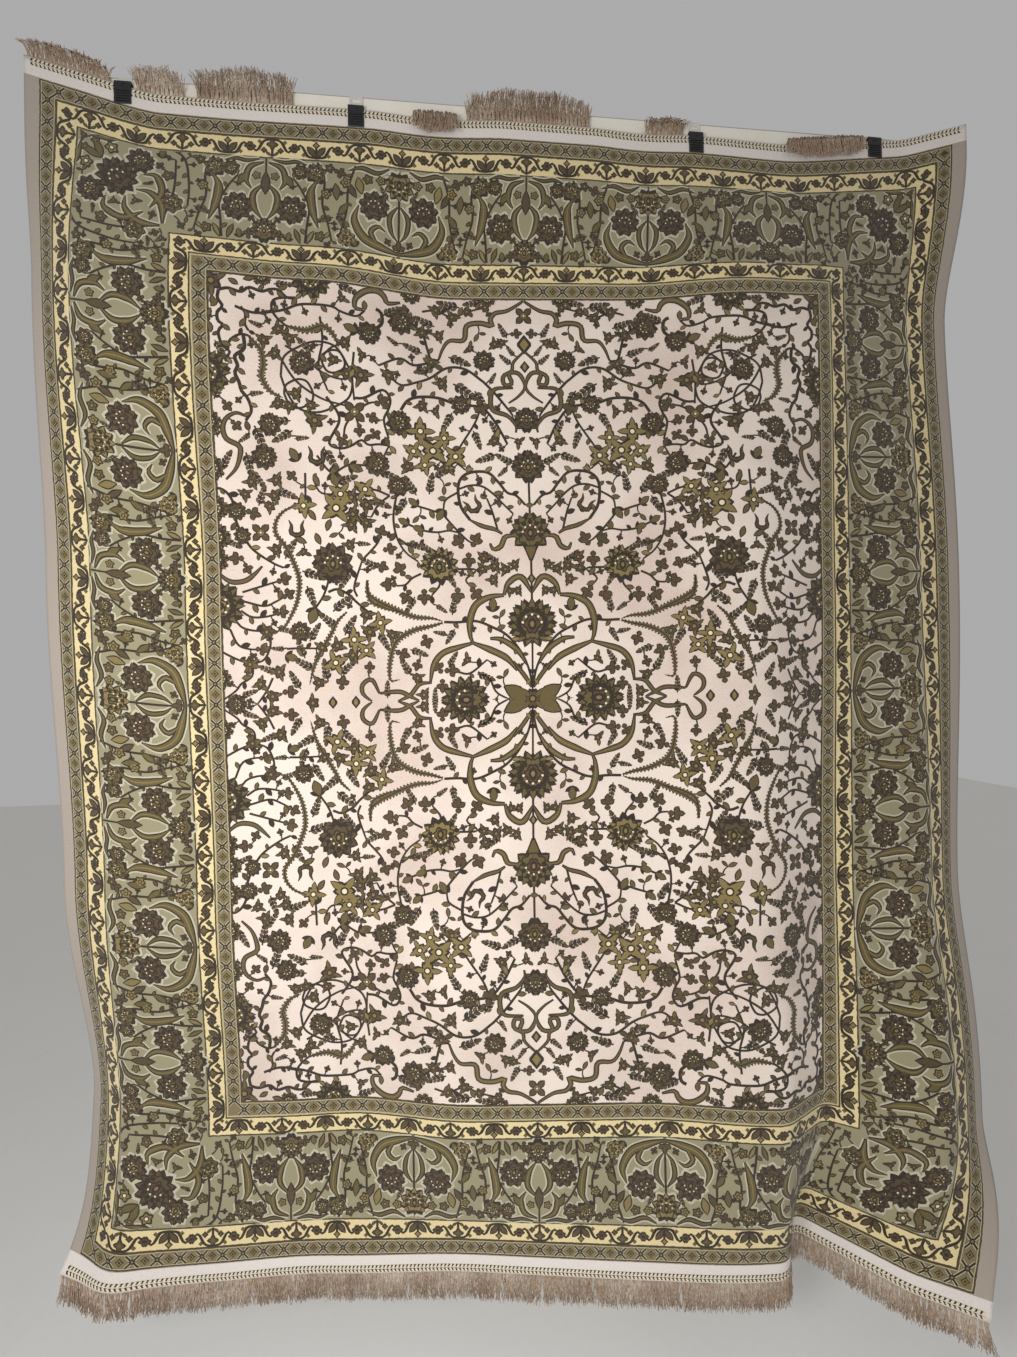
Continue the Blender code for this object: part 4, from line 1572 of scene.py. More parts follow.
    def _main_border(self, drawing: Drawing) -> None:
        """The two flower units in turn along each side, and the corner unit at each corner.

        Args:
            drawing: what they are stamped in.
        """
        one, other, corner = self._unit_one(), self._unit_other(), self._corner_unit()
        across = self.pile_width - self.main_middle
        up = self.pile_length - self.main_middle
        for side in (1, -1):
            self._row(drawing, (one, other), Row(up, 2, self.main_pitch_end, False), side)
            self._row(drawing, (other, one), Row(across, 3, self.main_pitch_side, True), side)
            for end in (1, -1):
                drawing.stamp(corner, lambda p, way=(side, end): (p + (across, up)) * way)

    @staticmethod
    def _row(drawing: Drawing, units: Sequence[Drawing], row: Row, side: int) -> None:
        """Stamps a row of units, whose y runs outwards.

        Args:
            drawing: what they are stamped in.
            units: the units, taken in turn.
            row: their places.
            side: 1, or -1 for the opposite end or side of the rug.
        """
        for step in range(-row.count, row.count + 1):

            def onto(p: np.ndarray, along: float = step * row.pitch) -> np.ndarray:
                """Moves a unit to its place in the row."""
                moved = np.stack([along + p[:, 0], side * (row.out + p[:, 1])], axis=1)
                return moved[:, ::-1] if row.upright else moved

            drawing.stamp(units[step % len(units)], onto)

    @staticmethod
    def _both_halves(half: Drawing) -> Drawing:
        """A unit out of its half on the positive side.

        Args:
            half: the half, which is cut off at the middle.

        Returns:
            The whole unit.
        """
        unit = Drawing()
        for side in (1, -1):
            unit.stamp(half, lambda p, way=(side, 1): np.maximum(p, (0, -np.inf)) * way)
        return unit

    def _unit_one(self) -> Drawing:
        """Draws the unit with its palmette at the inner edge.

        Returns:
            The unit. Its y runs outwards.
        """
        pen = Pen(rim=True)
        pen.palmette(0, -8.0, 90, 3.4, 9, 115, Tone.OLIVE, Tone.GOLD)
        self._strap(pen, ((0.4, 4.4), (2.8, 1.5), (2.6, -2.0), (0.8, -4.8)), (0.5, 1.4, 1.6, 0.4))
        pen.leaf(0, 7.6, 270, 6.2, 2.2, 0.0, Tone.BROWN)
        pen.stem(((0, 11.0), (0, 6.6)), 0.4)
        pen.palmette(6.4, -2.2, 75, 3.9, 9, 150, Tone.BROWN, Tone.OLIVE)
        self._strap(pen, ((0.6, 10.0), (3.8, 8.6), (4.7, 5.2), (3.4, 3.0)), (0.5, 1.4, 1.5, 0.4))
        pen.star(3.6, -9.4, 1.7, 90)
        pen.bud(5.6, -10.4, 80, 2.6)
        vine = ((9.8, -10.6), (10.2, -6.0), (10.6, -1.2), (8.6, 3.4), (6.6, 6.2))
        pen.vine(vine, self.vine_width, self.vine_size)
        pen.leaf(8.6, -10.8, 105, 4.2, 1.4, 0.4, Tone.OLIVE)
        pen.leaf(10.2, -10.8, 70, 4.0, 1.4, -0.4, Tone.GOLD)
        pen.leaf(6.6, 3.8, 120, 4.2, 2.0, 0.5, Tone.OLIVE)
        self._strap(pen, ((12.9, -6.4), (11.4, -1.6), (11.0, 3.0), (12.6, 6.2)), (0.4, 1.9, 2.1, 0.3))
        pen.palmette(12.0, 7.8, 60, 2.8, 7, 130, Tone.OLIVE, Tone.GOLD)
        pen.palmette(8.2, 8.0, 250, 2.2, 7, 130, Tone.BROWN, Tone.GOLD)
        self._strap(pen, ((1.6, 10.8), (4.6, 10.2), (7.2, 10.6), (9.8, 9.9)), (0.4, 1.0, 1.0, 0.3))
        vine = ((12.4, 10.8), (14.2, 6.0), (13.8, 0.0), (15.2, -5.0), (16.2, -9.5))
        pen.vine(vine, self.vine_width, self.vine_size)
        pen.flower(14.6, 2.6, 1.5, Tone.GOLD)
        pen.flower(13.4, -8.6, 1.6, Tone.OLIVE)
        pen.flower(2.2, 6.4, 1.2, Tone.GOLD)
        pen.flower(15.4, 9.4, 1.4, Tone.BROWN)
        pen.star(2.9, -5.2, 1.3, 40)
        pen.spray(14.6, -4.0, 200, 2.2)
        pen.fill_gaps((0.9, -10.3), (15.4, 10.4), clear=1.05, size=1.25, seed=7)
        return self._both_halves(pen.drawing)

    def _unit_other(self) -> Drawing:
        """Draws the unit with its palmette at the outer edge.

        Returns:
            The unit. Its y runs outwards.
        """
        pen = Pen(rim=True)
        pen.palmette(0, 6.6, -90, 3.9, 9, 130, Tone.GOLD, Tone.OLIVE)
        pen.palmette(6.2, 0.8, 100, 3.9, 9, 155, Tone.BROWN, Tone.WINE)
        pen.stem(((0, 3.0), (0, -10.6)), 0.5)
        self._strap(pen, ((0.4, 1.4), (2.3, -1.4), (1.9, -5.0), (0.4, -7.2)), (0.4, 1.3, 1.2, 0.3))
        broad = ((0.3, -10.4), (4.2, -9.4), (8.6, -7.6), (11.0, -3.4), (10.0, 0.6))
        self._strap(pen, broad, (0.8, 2.0, 2.2, 1.8, 0.3))
        self._strap(pen, ((5.2, -8.8), (7.0, -6.0), (5.2, -4.2), (3.4, -5.2)), (0.5, 1.4, 1.2, 0.3))
        pen.star(0, -9.4, 2.2, 90)
        pen.star(2.6, -8.0, 1.3, 60)
        pen.leaf(9.2, 3.4, 70, 4.6, 2.1, 0.5, Tone.GOLD)
        pen.leaf(10.6, 2.4, 55, 4.2, 1.8, 0.3, Tone.BROWN)
        self._strap(pen, ((2.6, 10.6), (5.6, 9.2), (9.4, 10.2), (12.6, 9.2)), (0.4, 1.2, 1.2, 0.3))
        pen.flower(4.6, 7.4, 1.4, Tone.GOLD)
        pen.flower(7.8, 7.4, 1.5, Tone.OLIVE)
        pen.palmette(13.0, -8.2, 200, 2.4, 7, 130, Tone.GOLD, Tone.OLIVE)
        pen.flower(13.2, 6.0, 1.6, Tone.GOLD)
        vine = ((10.9, 10.6), (12.6, 5.0), (13.0, -1.6), (14.8, -8.6))
        pen.vine(vine, self.vine_width, self.vine_size)
        pen.leaf(12.6, 0.8, 300, 4.0, 1.8, 0.4, Tone.OLIVE)
        pen.leaf(15.4, 1.2, 90, 4.6, 1.9, -0.4, Tone.OLIVE)
        pen.star(15.0, 8.6, 1.9, 200)
        pen.bud(10.4, -10.2, 60, 2.8)
        pen.spray(14.2, -4.0, 240, 2.4)
        pen.spray(3.6, 4.2, 60, 1.8)
        pen.fill_gaps((0.9, -10.3), (15.4, 10.4), clear=1.05, size=1.25, seed=9)
        return self._both_halves(pen.drawing)

    @staticmethod
    def _strap(pen: Pen, points: Points, widths: Sequence[float], place: Place = HERE) -> None:
        """A broad border strap with a light outline."""
        pen.ribbon(Tone.SAGE, points, [w + 0.7 for w in widths], place)
        pen.arabesque(points, widths, 0.32, place)

    def _corner_unit(self) -> Drawing:
        """Draws the corner's cluster.

        Returns:
            The unit, the same on either side of the corner's own diagonal.
        """
        pen = Pen(rim=True)
        tilted = Place(0, 0, -45)
        pen.palmette(0, 2.2, 90, 5.0, 11, 140, Tone.BROWN, Tone.WINE, tilted)
        for side in (1, -1):
            here = Place(0, 0, -45, 1.0, side)
            pen.palmette(7.4, 2.6, 60, 3.4, 9, 140, Tone.BROWN, Tone.GOLD, here)
            for line, widths in (
                (((0.4, -13.0), (3.6, -9.2), (3.8, -5.0), (1.6, -2.6)), (0.6, 1.8, 1.6, 0.3)),
                (((1.0, -8.0), (5.9, -6.6), (7.8, -2.4), (5.6, -0.4)), (0.4, 1.6, 1.7, 0.3)),
                (((1.4, 13.0), (5.0, 10.4), (9.4, 9.6), (12.4, 5.6)), (0.4, 1.6, 1.7, 0.3)),
            ):
                self._strap(pen, line, widths, here)
            pen.flower(3.8, 8.4, 1.8, Tone.GOLD, Tone.IVORY, place=here)
            pen.flower(10.0, -4.0, 1.6, Tone.OLIVE, place=here)
            pen.flower(1.6, 11.4, 1.3, Tone.OLIVE, place=here)
            pen.leaf(0, 7.4, 62, 4.8, 2.0, 0.5, Tone.OLIVE, here)
            pen.bud(12.0, 0.4, 40, 3.0, here)
            vine = ((1.5, -12.0), (6.2, -9.4), (9.8, -6.6), (14.2, -2.0))
            pen.vine(vine, self.vine_width, self.vine_size, here)
            pen.palmette(5.6, -10.2, 20, 2.8, 7, 140, Tone.OLIVE, Tone.BROWN, here)
            vine = ((15.0, 2.0), (16.0, -3.0), (12.0, -9.0), (8.0, -13.0))
            pen.vine(vine, self.vine_width, self.vine_size, here)
        pen.fill_gaps((-15.6, -15.6), (10.2, 10.2), clear=1.05, size=1.35, seed=3, inner=9.6)
        limit = (self.main_half - 0.3, self.main_half - 0.3)
        edge = -self.main_half + 0.35

        def keep_in(p: np.ndarray) -> np.ndarray:
            """Holds the shapes within the border where it turns."""
            p = np.clip(p, (-16.8, -16.8), limit)
            past = (p[:, 0] < edge) & (p[:, 1] < edge)
            return np.where(past[:, None], edge, p)

        cut = Drawing()
        cut.stamp(pen.drawing, keep_in)
        return cut

    def _guards(self, drawing: Drawing) -> None:
        """The ivory guards with their pins, and the narrow ones with their crosses.

        Args:
            drawing: what they are stamped in.
        """
        for guard in self.guards:
            pins = [self._pin(guard.half, guard.pitch_end, trefoil) for trefoil in (True, False)]
            self._all_round(drawing, pins, guard.depth, guard.pitch_end, guard.pitch_side)
        for depth in self.minors:
            self._all_round(drawing, [self._cross()], depth, self.minor_pitch, self.minor_pitch)

    def _all_round(
        self, drawing: Drawing, units: Sequence[Drawing], depth: float, pitch_end: float, pitch_side: float
    ) -> None:
        """Sets units in turn along all four sides, with half a unit's room left at each corner.

        Args:
            drawing: what they are stamped in.
            units: the units, taken in turn.
            depth: how far inside the pile's edge they stand.
            pitch_end: about how far apart they stand along the ends.
            pitch_side: about how far apart along the sides.
        """
        across, up = self.pile_width - depth, self.pile_length - depth
        for side in (1, -1):
            rows = ((up, across, pitch_end, False), (across, up, pitch_side, True))
            for out, reach, pitch, upright in rows:
                count = round(reach / pitch - 0.5)
                self._row(drawing, units, Row(out, count, reach / (count + 0.5), upright), side)

    @staticmethod
    def _blossom(pen: Pen, x: float, y: float, radius: float, inner: float, fill: Tone) -> None:
        """A small blossom of four lobes with a dark edge."""
        pen.disc(Tone.DARK, x, y, radius, 4, 0.2)
        pen.disc(fill, x, y, inner, 4, 0.2)

    def _pin(self, half: float, pitch: float, trefoil: bool) -> Drawing:
        """One stem of an ivory guard with its flower, and half of the wave on either side.

        Args:
            half: half the guard's width.
            pitch: how far apart the stems stand.
            trefoil: whether the stem has a trefoil or a leaf.

        Returns:
            The unit.
        """
        pen = Pen()
        rise = half if trefoil else -half
        pen.stem(((0, -half), (0, half * 0.9)), 0.55)
        if trefoil:
            self._blossom(pen, 0, half * 0.35, 1.55, 1.12, Tone.BROWN)
            pen.disc(Tone.OLIVE, 0, half * 0.35, 0.50, lift=0.2)
            self._blossom(pen, 2.0, -half * 0.3, 0.9, 0.55, Tone.BROWN)
            pen.leaf(0.2, -half * 0.9, 30, 1.8, 0.7, 0.3, Tone.OLIVE, edge=0.2)
        else:
            pen.leaf(0.1, -half * 0.8, 58, 3.5, 1.7, -0.4, Tone.BROWN, edge=0.3)
            line = ((0.1, -half * 0.85), (2.2, -half * 0.7), (3.0, half * 0.2))
            pen.ribbon(Tone.DARK, line, (0.3, 0.7, 0.2))
            self._blossom(pen, 0, half * 0.5, 1.0, 0.6, Tone.GOLD)
        wave = ((0.0, 0.9), (0.2, 0.7), (0.36, -0.4), (0.5, 0.0))
        pen.ribbon(Tone.DARK, [(pitch * x, rise * y) for x, y in wave], (0.4, 0.65, 0.4))
        self._blossom(pen, pitch * 0.5, half * 0.05, 1.3, 0.9, Tone.BROWN)
        pen.disc(Tone.DARK, pitch * 0.5, half * 0.05, 0.35, lift=0.4)
        pen.disc(Tone.OLIVE, pitch * 0.30, rise * 0.62, 0.6, 4, 0.2)
        return self._both_halves(pen.drawing)

    def _cross(self) -> Drawing:
        """Draws one repeat of a narrow guard.

        Returns:
            A cross, and a small flower between it and the next one.
        """
        pen = Pen()
        half = self.cross_half
        for side in (1, -1):
            line = ((-side * half, -half), (side * half, half))
            pen.ribbon(Tone.SAGE, line, (0.70, 0.70), lift=0.1)
            pen.ribbon(Tone.DARK, line, (0.42, 0.42), lift=0.05)
        pen.disc(Tone.DARK, 0, 0, 0.75, 4, 0.2)
        pen.disc(Tone.GOLD, 0, 0, 0.28)
        between = 0.5 * self.minor_pitch
        pen.disc(Tone.DARK, between, 0, 1.0, 4, 0.25, lift=-0.1)
        pen.disc(Tone.GOLD, between, 0, 0.68, 4, 0.25)
        pen.disc(Tone.DARK, between, 0, 0.28, lift=0.5)
        return pen.drawing

    def _twining(self, drawing: Drawing) -> None:
        """Two rows of slanted dashes, dark and light in turn, near each end of the flat weave.

        Args:
            drawing: what they are stamped in.
        """
        pen = Pen()
        for row, slant in self.dash_rows:
            for step in range(-self.dash_count, self.dash_count + 1):
                x = step * self.dash_pitch
                for tone, start, stop, widths in (
                    (Tone.DARK, -0.35, 0.35, (0.2, 0.78, 0.2)),
                    (Tone.IVORY, 0.15, 0.85, (0.15, 0.6, 0.15)),
                ):
                    pen.ribbon(tone, ((x + start, row - slant), (x + stop, row + slant)), widths)
        for end in (1, -1):
            drawing.stamp(pen.drawing, lambda p, way=(1, end): p * way)


@dataclass(frozen=True)
class Wool:
    """A pile wool: its colour, the paler one of its worn tufts, and its roughness."""

    name: str
    colour: str
    worn: str
    slot: str = "pile"
    roughness: float = 0.92

    def build(self) -> bpy.types.Material:
        """Builds the finish.

        Returns:
            The material, with uneven dye and worn tufts.
        """
        look = Shading(self.name)
        place = look.node("ShaderNodeUVMap", {"uv_map": "UVMap"}, {})
        patch = look.noise(place, 14.0, 3.0)
        tuft = look.noise(place, TUFT_SCALE, 2.0)
        share = ((patch - 0.35) * 0.9 + (tuft - 0.5) * 1.1).clamped()
        look.feed("Base Color", look.mix(share, linear(self.colour), linear(self.worn)))
        look.pile(tuft, self.roughness)
        return look.material


WOOLS = {
    Tone.DARK: Wool("umber_wool", "#281E13", "#423322"),
    Tone.OLIVE: Wool("olive_wool", "#5A4D2A", "#70623A"),
    Tone.GOLD: Wool("gold_wool", "#77663A", "#948255"),
    Tone.SAGE: Wool("sage_wool", "#B2AB93", "#C4BEA8"),
    Tone.IVORY: Wool("ivory_wool", "#D8CAA8", "#E4DABF"),
    Tone.BROWN: Wool("brown_wool", "#493A23", "#655437"),
    Tone.WINE: Wool("wine_wool", "#4C342B", "#6A4B42"),
}


@dataclass(frozen=True)
class GroundWool:
    """The wool grounds of the rug: the field, and each band by its distance from the pile's edge."""

    name: str = "rug_grounds"
    field_colour: str = "#DFD0C3"
    field_pink: str = "#C6B0A3"
    side_band: str = "#A2978B"
    flat_weave: str = "#D9D1CA"
    dark: str = "#3F3424"
    olive: str = "#756848"
    pale: str = "#B3A57C"
    main: str = "#90886B"
    guard: str = "#D9C694"
    shade: str = "#8E7F6A"
    roughness: float = 0.93
    ramp_share: float = 0.02
    weave: float = 5200.0

    def build(self, pile_width: float, pile_length: float) -> bpy.types.Material:
        """The finish, banded in the cloth's own centimetres.

        Args:
            pile_width: half the pile's width in centimetres.
            pile_length: half its length.

        Returns:
            The material.
        """
        look = Shading(self.name)
        place = look.node("ShaderNodeUVMap", {"uv_map": "UVMap"}, {})
        x = look.node("ShaderNodeSeparateXYZ", {}, {"Vector": place}, "X")
        y = look.node("ShaderNodeSeparateXYZ", {}, {"Vector": place}, "Y")
        ragged = (look.noise(place, 240.0, 2.0) - 0.5) * 0.35
        across = pile_width - ((x - 0.5) * (100 * UV_SPAN)).absolute()
        up = pile_length - ((y - 0.5) * (100 * UV_SPAN)).absolute()
        depth = (across.least(up) + ragged) * self.ramp_share
        stops = (
            (0.0, self.side_band),
            (0.001, self.dark),
            (0.008, self.pale),
            (0.014, self.olive),
            (0.072, self.pale),
            (0.078, self.dark),
            (0.086, self.guard),
            (0.180, self.dark),
            (0.188, self.main),
            (0.632, self.dark),
            (0.640, self.guard),
            (0.722, self.dark),
            (0.730, self.pale),
            (0.736, self.olive),
            (0.798, self.pale),
            (0.804, self.dark),
            (0.814, self.field_colour),
        )
        ramp = look.node(
            "ShaderNodeValToRGB",
            {"stops": [(at, linear(colour)) for at, colour in stops]},
            {"Fac": depth},
        )
        patch = look.noise(place, 9.0, 4.0)
        tuft = look.noise(place, TUFT_SCALE, 2.0)
        pinker = ((patch - 0.42) * 3.0 * depth.over(stops[-1][0])).clamped()
        colour = look.mix(pinker, ramp, linear(self.field_pink))
        colour = look.mix(up.over(0.0), linear(self.flat_weave), colour)
        stripe = (y * self.weave).wave() * 0.04 + (tuft - 0.5) * 0.55 + (patch - 0.5) * 0.5
        look.feed("Base Color", look.mix(stripe.clamped(), colour, linear(self.shade)))
        look.pile(tuft, self.roughness)
        return look.material


@dataclass(frozen=True)
class SolidFinish:
    """A finish of the rail, the clips or the yarn: two colours and a grain; on the yarn, painted highlight
    and shade.
    """

    name: str
    colour: str
    second: str
    roughness: float
    grain: float
    bump: float = 0.3
    depth: float = 0.0004
    metallic: float = 0.0

    def build(self) -> bpy.types.Material:
        """Builds the finish on Object coordinates.

        Returns:
            The material.
        """
        look = Shading(self.name)
        place = look.node("ShaderNodeTexCoord", {}, {}, "Object")
        fine = look.noise(place, self.grain, 3.0)
        broad = look.noise(place, self.grain * 0.06, 3.0)
        share = ((fine - 0.4) * 1.1 + (broad - 0.5) * 1.2).clamped()
        look.feed("Base Color", look.mix(share, linear(self.colour), linear(self.second)))
        look.feed("Roughness", fine * 0.2 + (self.roughness - 0.1))
        look.feed("Metallic", self.metallic)
        look.relief(fine, self.bump, self.depth)
        return look.material


def add_piece(
    name: str, shape: bmesh.types.BMesh, finish: bpy.types.Material
) -> bpy.types.Object:
    """Makes a piece out of a shape, on the one body.

    Args:
        name: the piece's name.
        shape: its bmesh, which is freed.
        finish: its material.

    Returns:
        The object.
    """
    data = bpy.data.meshes.new(name)
    shape.to_mesh(data)
    shape.free()
    data.materials.append(finish)
    piece = bpy.data.objects.new(name, data)
    bpy.context.scene.collection.objects.link(piece)
    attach(piece, "root")
    LOG.info("%s: %d faces", name, len(data.polygons))
    return piece


def set_uv(data: bpy.types.Mesh, u: np.ndarray, t: np.ndarray) -> None:
    """Gives every corner its vertex's place on the flat rug.

    Args:
        data: the mesh.
        u: each vertex's place across.
        t: each vertex's place up.
    """
    layer = data.uv_layers.new(name="UVMap")
    corners = np.empty(len(data.loops), dtype=np.int32)
    data.loops.foreach_get("vertex_index", corners)
    flat = np.stack([u[corners] / UV_SPAN + 0.5, t[corners] / UV_SPAN + 0.5], axis=1)
    layer.data.foreach_set("uv", flat.astype(np.float32).ravel())


def smooth_shape(data: bpy.types.Mesh, tolerance: float = 0.0) -> bmesh.types.BMesh:
    """Turns a mesh of laid unit shapes into a smooth bmesh.

    Args:
        data: the mesh, which is removed.
        tolerance: edges shorter than this are closed up.

    Returns:
        The bmesh.
    """
    shape = bmesh.new()
    shape.from_mesh(data)
    bpy.data.meshes.remove(data)
    if tolerance:
        bmesh.ops.dissolve_degenerate(shape, dist=tolerance, edges=shape.edges)
    for face in shape.faces:
        face.smooth = True
    return shape


@dataclass
class Cloth:
    """The pile cloth: one closed sheet on the drape, and the design laid on it."""

    drape: Drape
    design: Design
    columns: tuple[tuple[float, int], ...] = (
        (-1.22, 0),
        (-1.02, 26),
        (0.58, 110),
        (0.84, 44),
        (1.00, 14),
        (1.22, 28),
    )
    rows: tuple[tuple[float, int], ...] = ((-1.50, 0), (-0.90, 40), (0.90, 80), (1.50, 40))
    clips: tuple[str, ...] = ("clip_1_jaw", "clip_2_jaw", "clip_3_jaw", "clip_4_jaw")
    shortest_edge: float = 0.00005

    def build(self) -> bpy.types.Object:
        """Builds the sheet with its woven grounds.

        Returns:
            The piece that replaces the rug's solid.
        """
        us, ts = self._places(self.columns), self._places(self.rows)
        shape = bmesh.new()
        bmesh.ops.create_grid(shape, x_segments=len(us) - 1, y_segments=len(ts) - 1, size=0.5)
        drawn = bmesh.ops.extrude_face_region(shape, geom=shape.faces[:])
        raised = [item for item in drawn["geom"] if isinstance(item, bmesh.types.BMVert)]
        bmesh.ops.translate(shape, vec=Vector((0, 0, 1)), verts=raised)
        bmesh.ops.recalc_face_normals(shape, faces=shape.faces)
        unit = np.array([vertex.co for vertex in shape.verts])
        u = us[np.rint((unit[:, 0] + 0.5) * (len(us) - 1)).astype(int)]
        t = ts[np.rint((unit[:, 1] + 0.5) * (len(ts) - 1)).astype(int)]
        places = self.drape.points(u, t, (unit[:, 2] - 0.5) * self.drape.thickness)
        finish = GroundWool().build(self.design.pile_width, self.design.pile_length)
        piece = add_piece("rug_ground", shape, finish)
        piece.data.vertices.foreach_set("co", places.astype(np.float32).ravel())
        piece.data.polygons.foreach_set("use_smooth", [True] * len(piece.data.polygons))
        piece.data.update()
        set_uv(piece.data, u, t)
        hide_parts("rug")
        return piece

    @staticmethod
    def _places(stretches: Sequence[tuple[float, int]]) -> np.ndarray:
        """The places of columns or rows, spread evenly in each stretch.

        Args:
            stretches: the end of each stretch, and how many steps it has.

        Returns:
            The places.
        """
        places = [stretches[0][0]]
        for (start, _), (end, count) in zip(stretches, stretches[1:]):
            places += [start + (end - start) * (i + 1) / count for i in range(count)]
        return np.array(places)

    def lay_design(self) -> list[bpy.types.Object]:
        """Lays the whole design on the cloth.

        Returns:
            One piece of wool for each area and tone.
        """
        finishes = {tone: wool.build() for tone, wool in WOOLS.items()}
        return [
            self._lay(area, drawing, tone, finishes[tone])
            for area, drawing in self.design.areas().items()
            for tone in WOOLS
            if tone in drawing.places
        ]

    def _lay(self, area: str, drawing: Drawing, tone: Tone, finish: bpy.types.Material) -> bpy.types.Object:
        """Lays the shapes of one tone in one area on the draped cloth.

        Args:
            area: the area's name.
            drawing: its shapes.
            tone: which wool's shapes are laid.
            finish: that wool's material.

        Returns:
            The piece.
        """
        flat = np.vstack(drawing.places[tone]) * CM
        height = np.concatenate(drawing.heights[tone]) * 0.001 + self.drape.thickness / 2
        places = self.drape.points(flat[:, 0], flat[:, 1], height)
        data = bpy.data.meshes.new(area)
        data.from_pydata(places.tolist(), [], drawing.faces[tone])
        set_uv(data, flat[:, 0], flat[:, 1])
        shape = smooth_shape(data, self.shortest_edge)
        return add_piece(area + "_" + tone.value, shape, finish)


class Pose(Enum):
    """How the strands of a run of fringe stand."""

    HANGING = "hanging"
    STANDING = "standing"
    UPRIGHT = "upright"
    LEANING = "leaning"
    FALLING = "falling"
    TUCKED = "tucked"


class Run(NamedTuple):
    """A run of fringe: the node that it stands for, the end it is on, its stretch and its pose."""

    node: str
    end: int
    start: float
    stop: float
    pose: Pose


RUNS = (
    Run("fringe_bottom", -1, -1.215, 1.215, Pose.HANGING),
    Run("fringe_top_flap", 1, -1.215, -1.020, Pose.LEANING),
    Run("fringe_top_1", 1, -0.960, -0.850, Pose.STANDING),
    Run("fringe_top_2", 1, -0.820, -0.590, Pose.UPRIGHT),
    Run("fringe_top_3", 1, -0.560, -0.465, Pose.TUCKED),
    Run("fringe_top_4", 1, -0.405, -0.320, Pose.TUCKED),
    Run("fringe_top_5", 1, -0.290, -0.180, Pose.FALLING),
    Run("fringe_top_6", 1, -0.155, 0.170, Pose.UPRIGHT),
    Run("fringe_top_7", 1, 0.200, 0.290, Pose.TUCKED),
    Run("fringe_top_8", 1, 0.320, 0.425, Pose.LEANING),
    Run("fringe_top_9", 1, 0.495, 0.690, Pose.TUCKED),
    Run("fringe_top_10", 1, 0.715, 0.935, Pose.FALLING),
    Run("fringe_top_11", 1, 1.010, 1.215, Pose.TUCKED),
)


@lru_cache(maxsize=None)
def unit_strand(sides: int, joints: int) -> tuple[np.ndarray, Faces]:
    """A closed tube along +Z: each point's place across and its joint's number, and its faces.

    Args:
        sides: how many sides it has.
        joints: how many lengths it has.

    Returns:
        The points and the faces.
    """
    shape = bmesh.new()
    bmesh.ops.create_circle(shape, cap_ends=True, segments=sides, radius=1.0)
    bmesh.ops.reverse_faces(shape, faces=shape.faces)
    top = shape.faces[:]
    for joint in range(joints):
        drawn = bmesh.ops.extrude_face_region(shape, geom=top)["geom"]
        moved = [item for item in drawn if isinstance(item, bmesh.types.BMVert)]
        if joint:
            bmesh.ops.delete(shape, geom=top, context="FACES_ONLY")
        top = [item for item in drawn if isinstance(item, bmesh.types.BMFace)]
        bmesh.ops.translate(shape, vec=Vector((0, 0, 1)), verts=moved)
    bmesh.ops.recalc_face_normals(shape, faces=shape.faces)
    shape.verts.index_update()
    places = np.array([tuple(v.co) for v in shape.verts])
    faces = tuple(tuple(v.index for v in face.verts) for face in shape.faces)
    shape.free()
    return places, faces


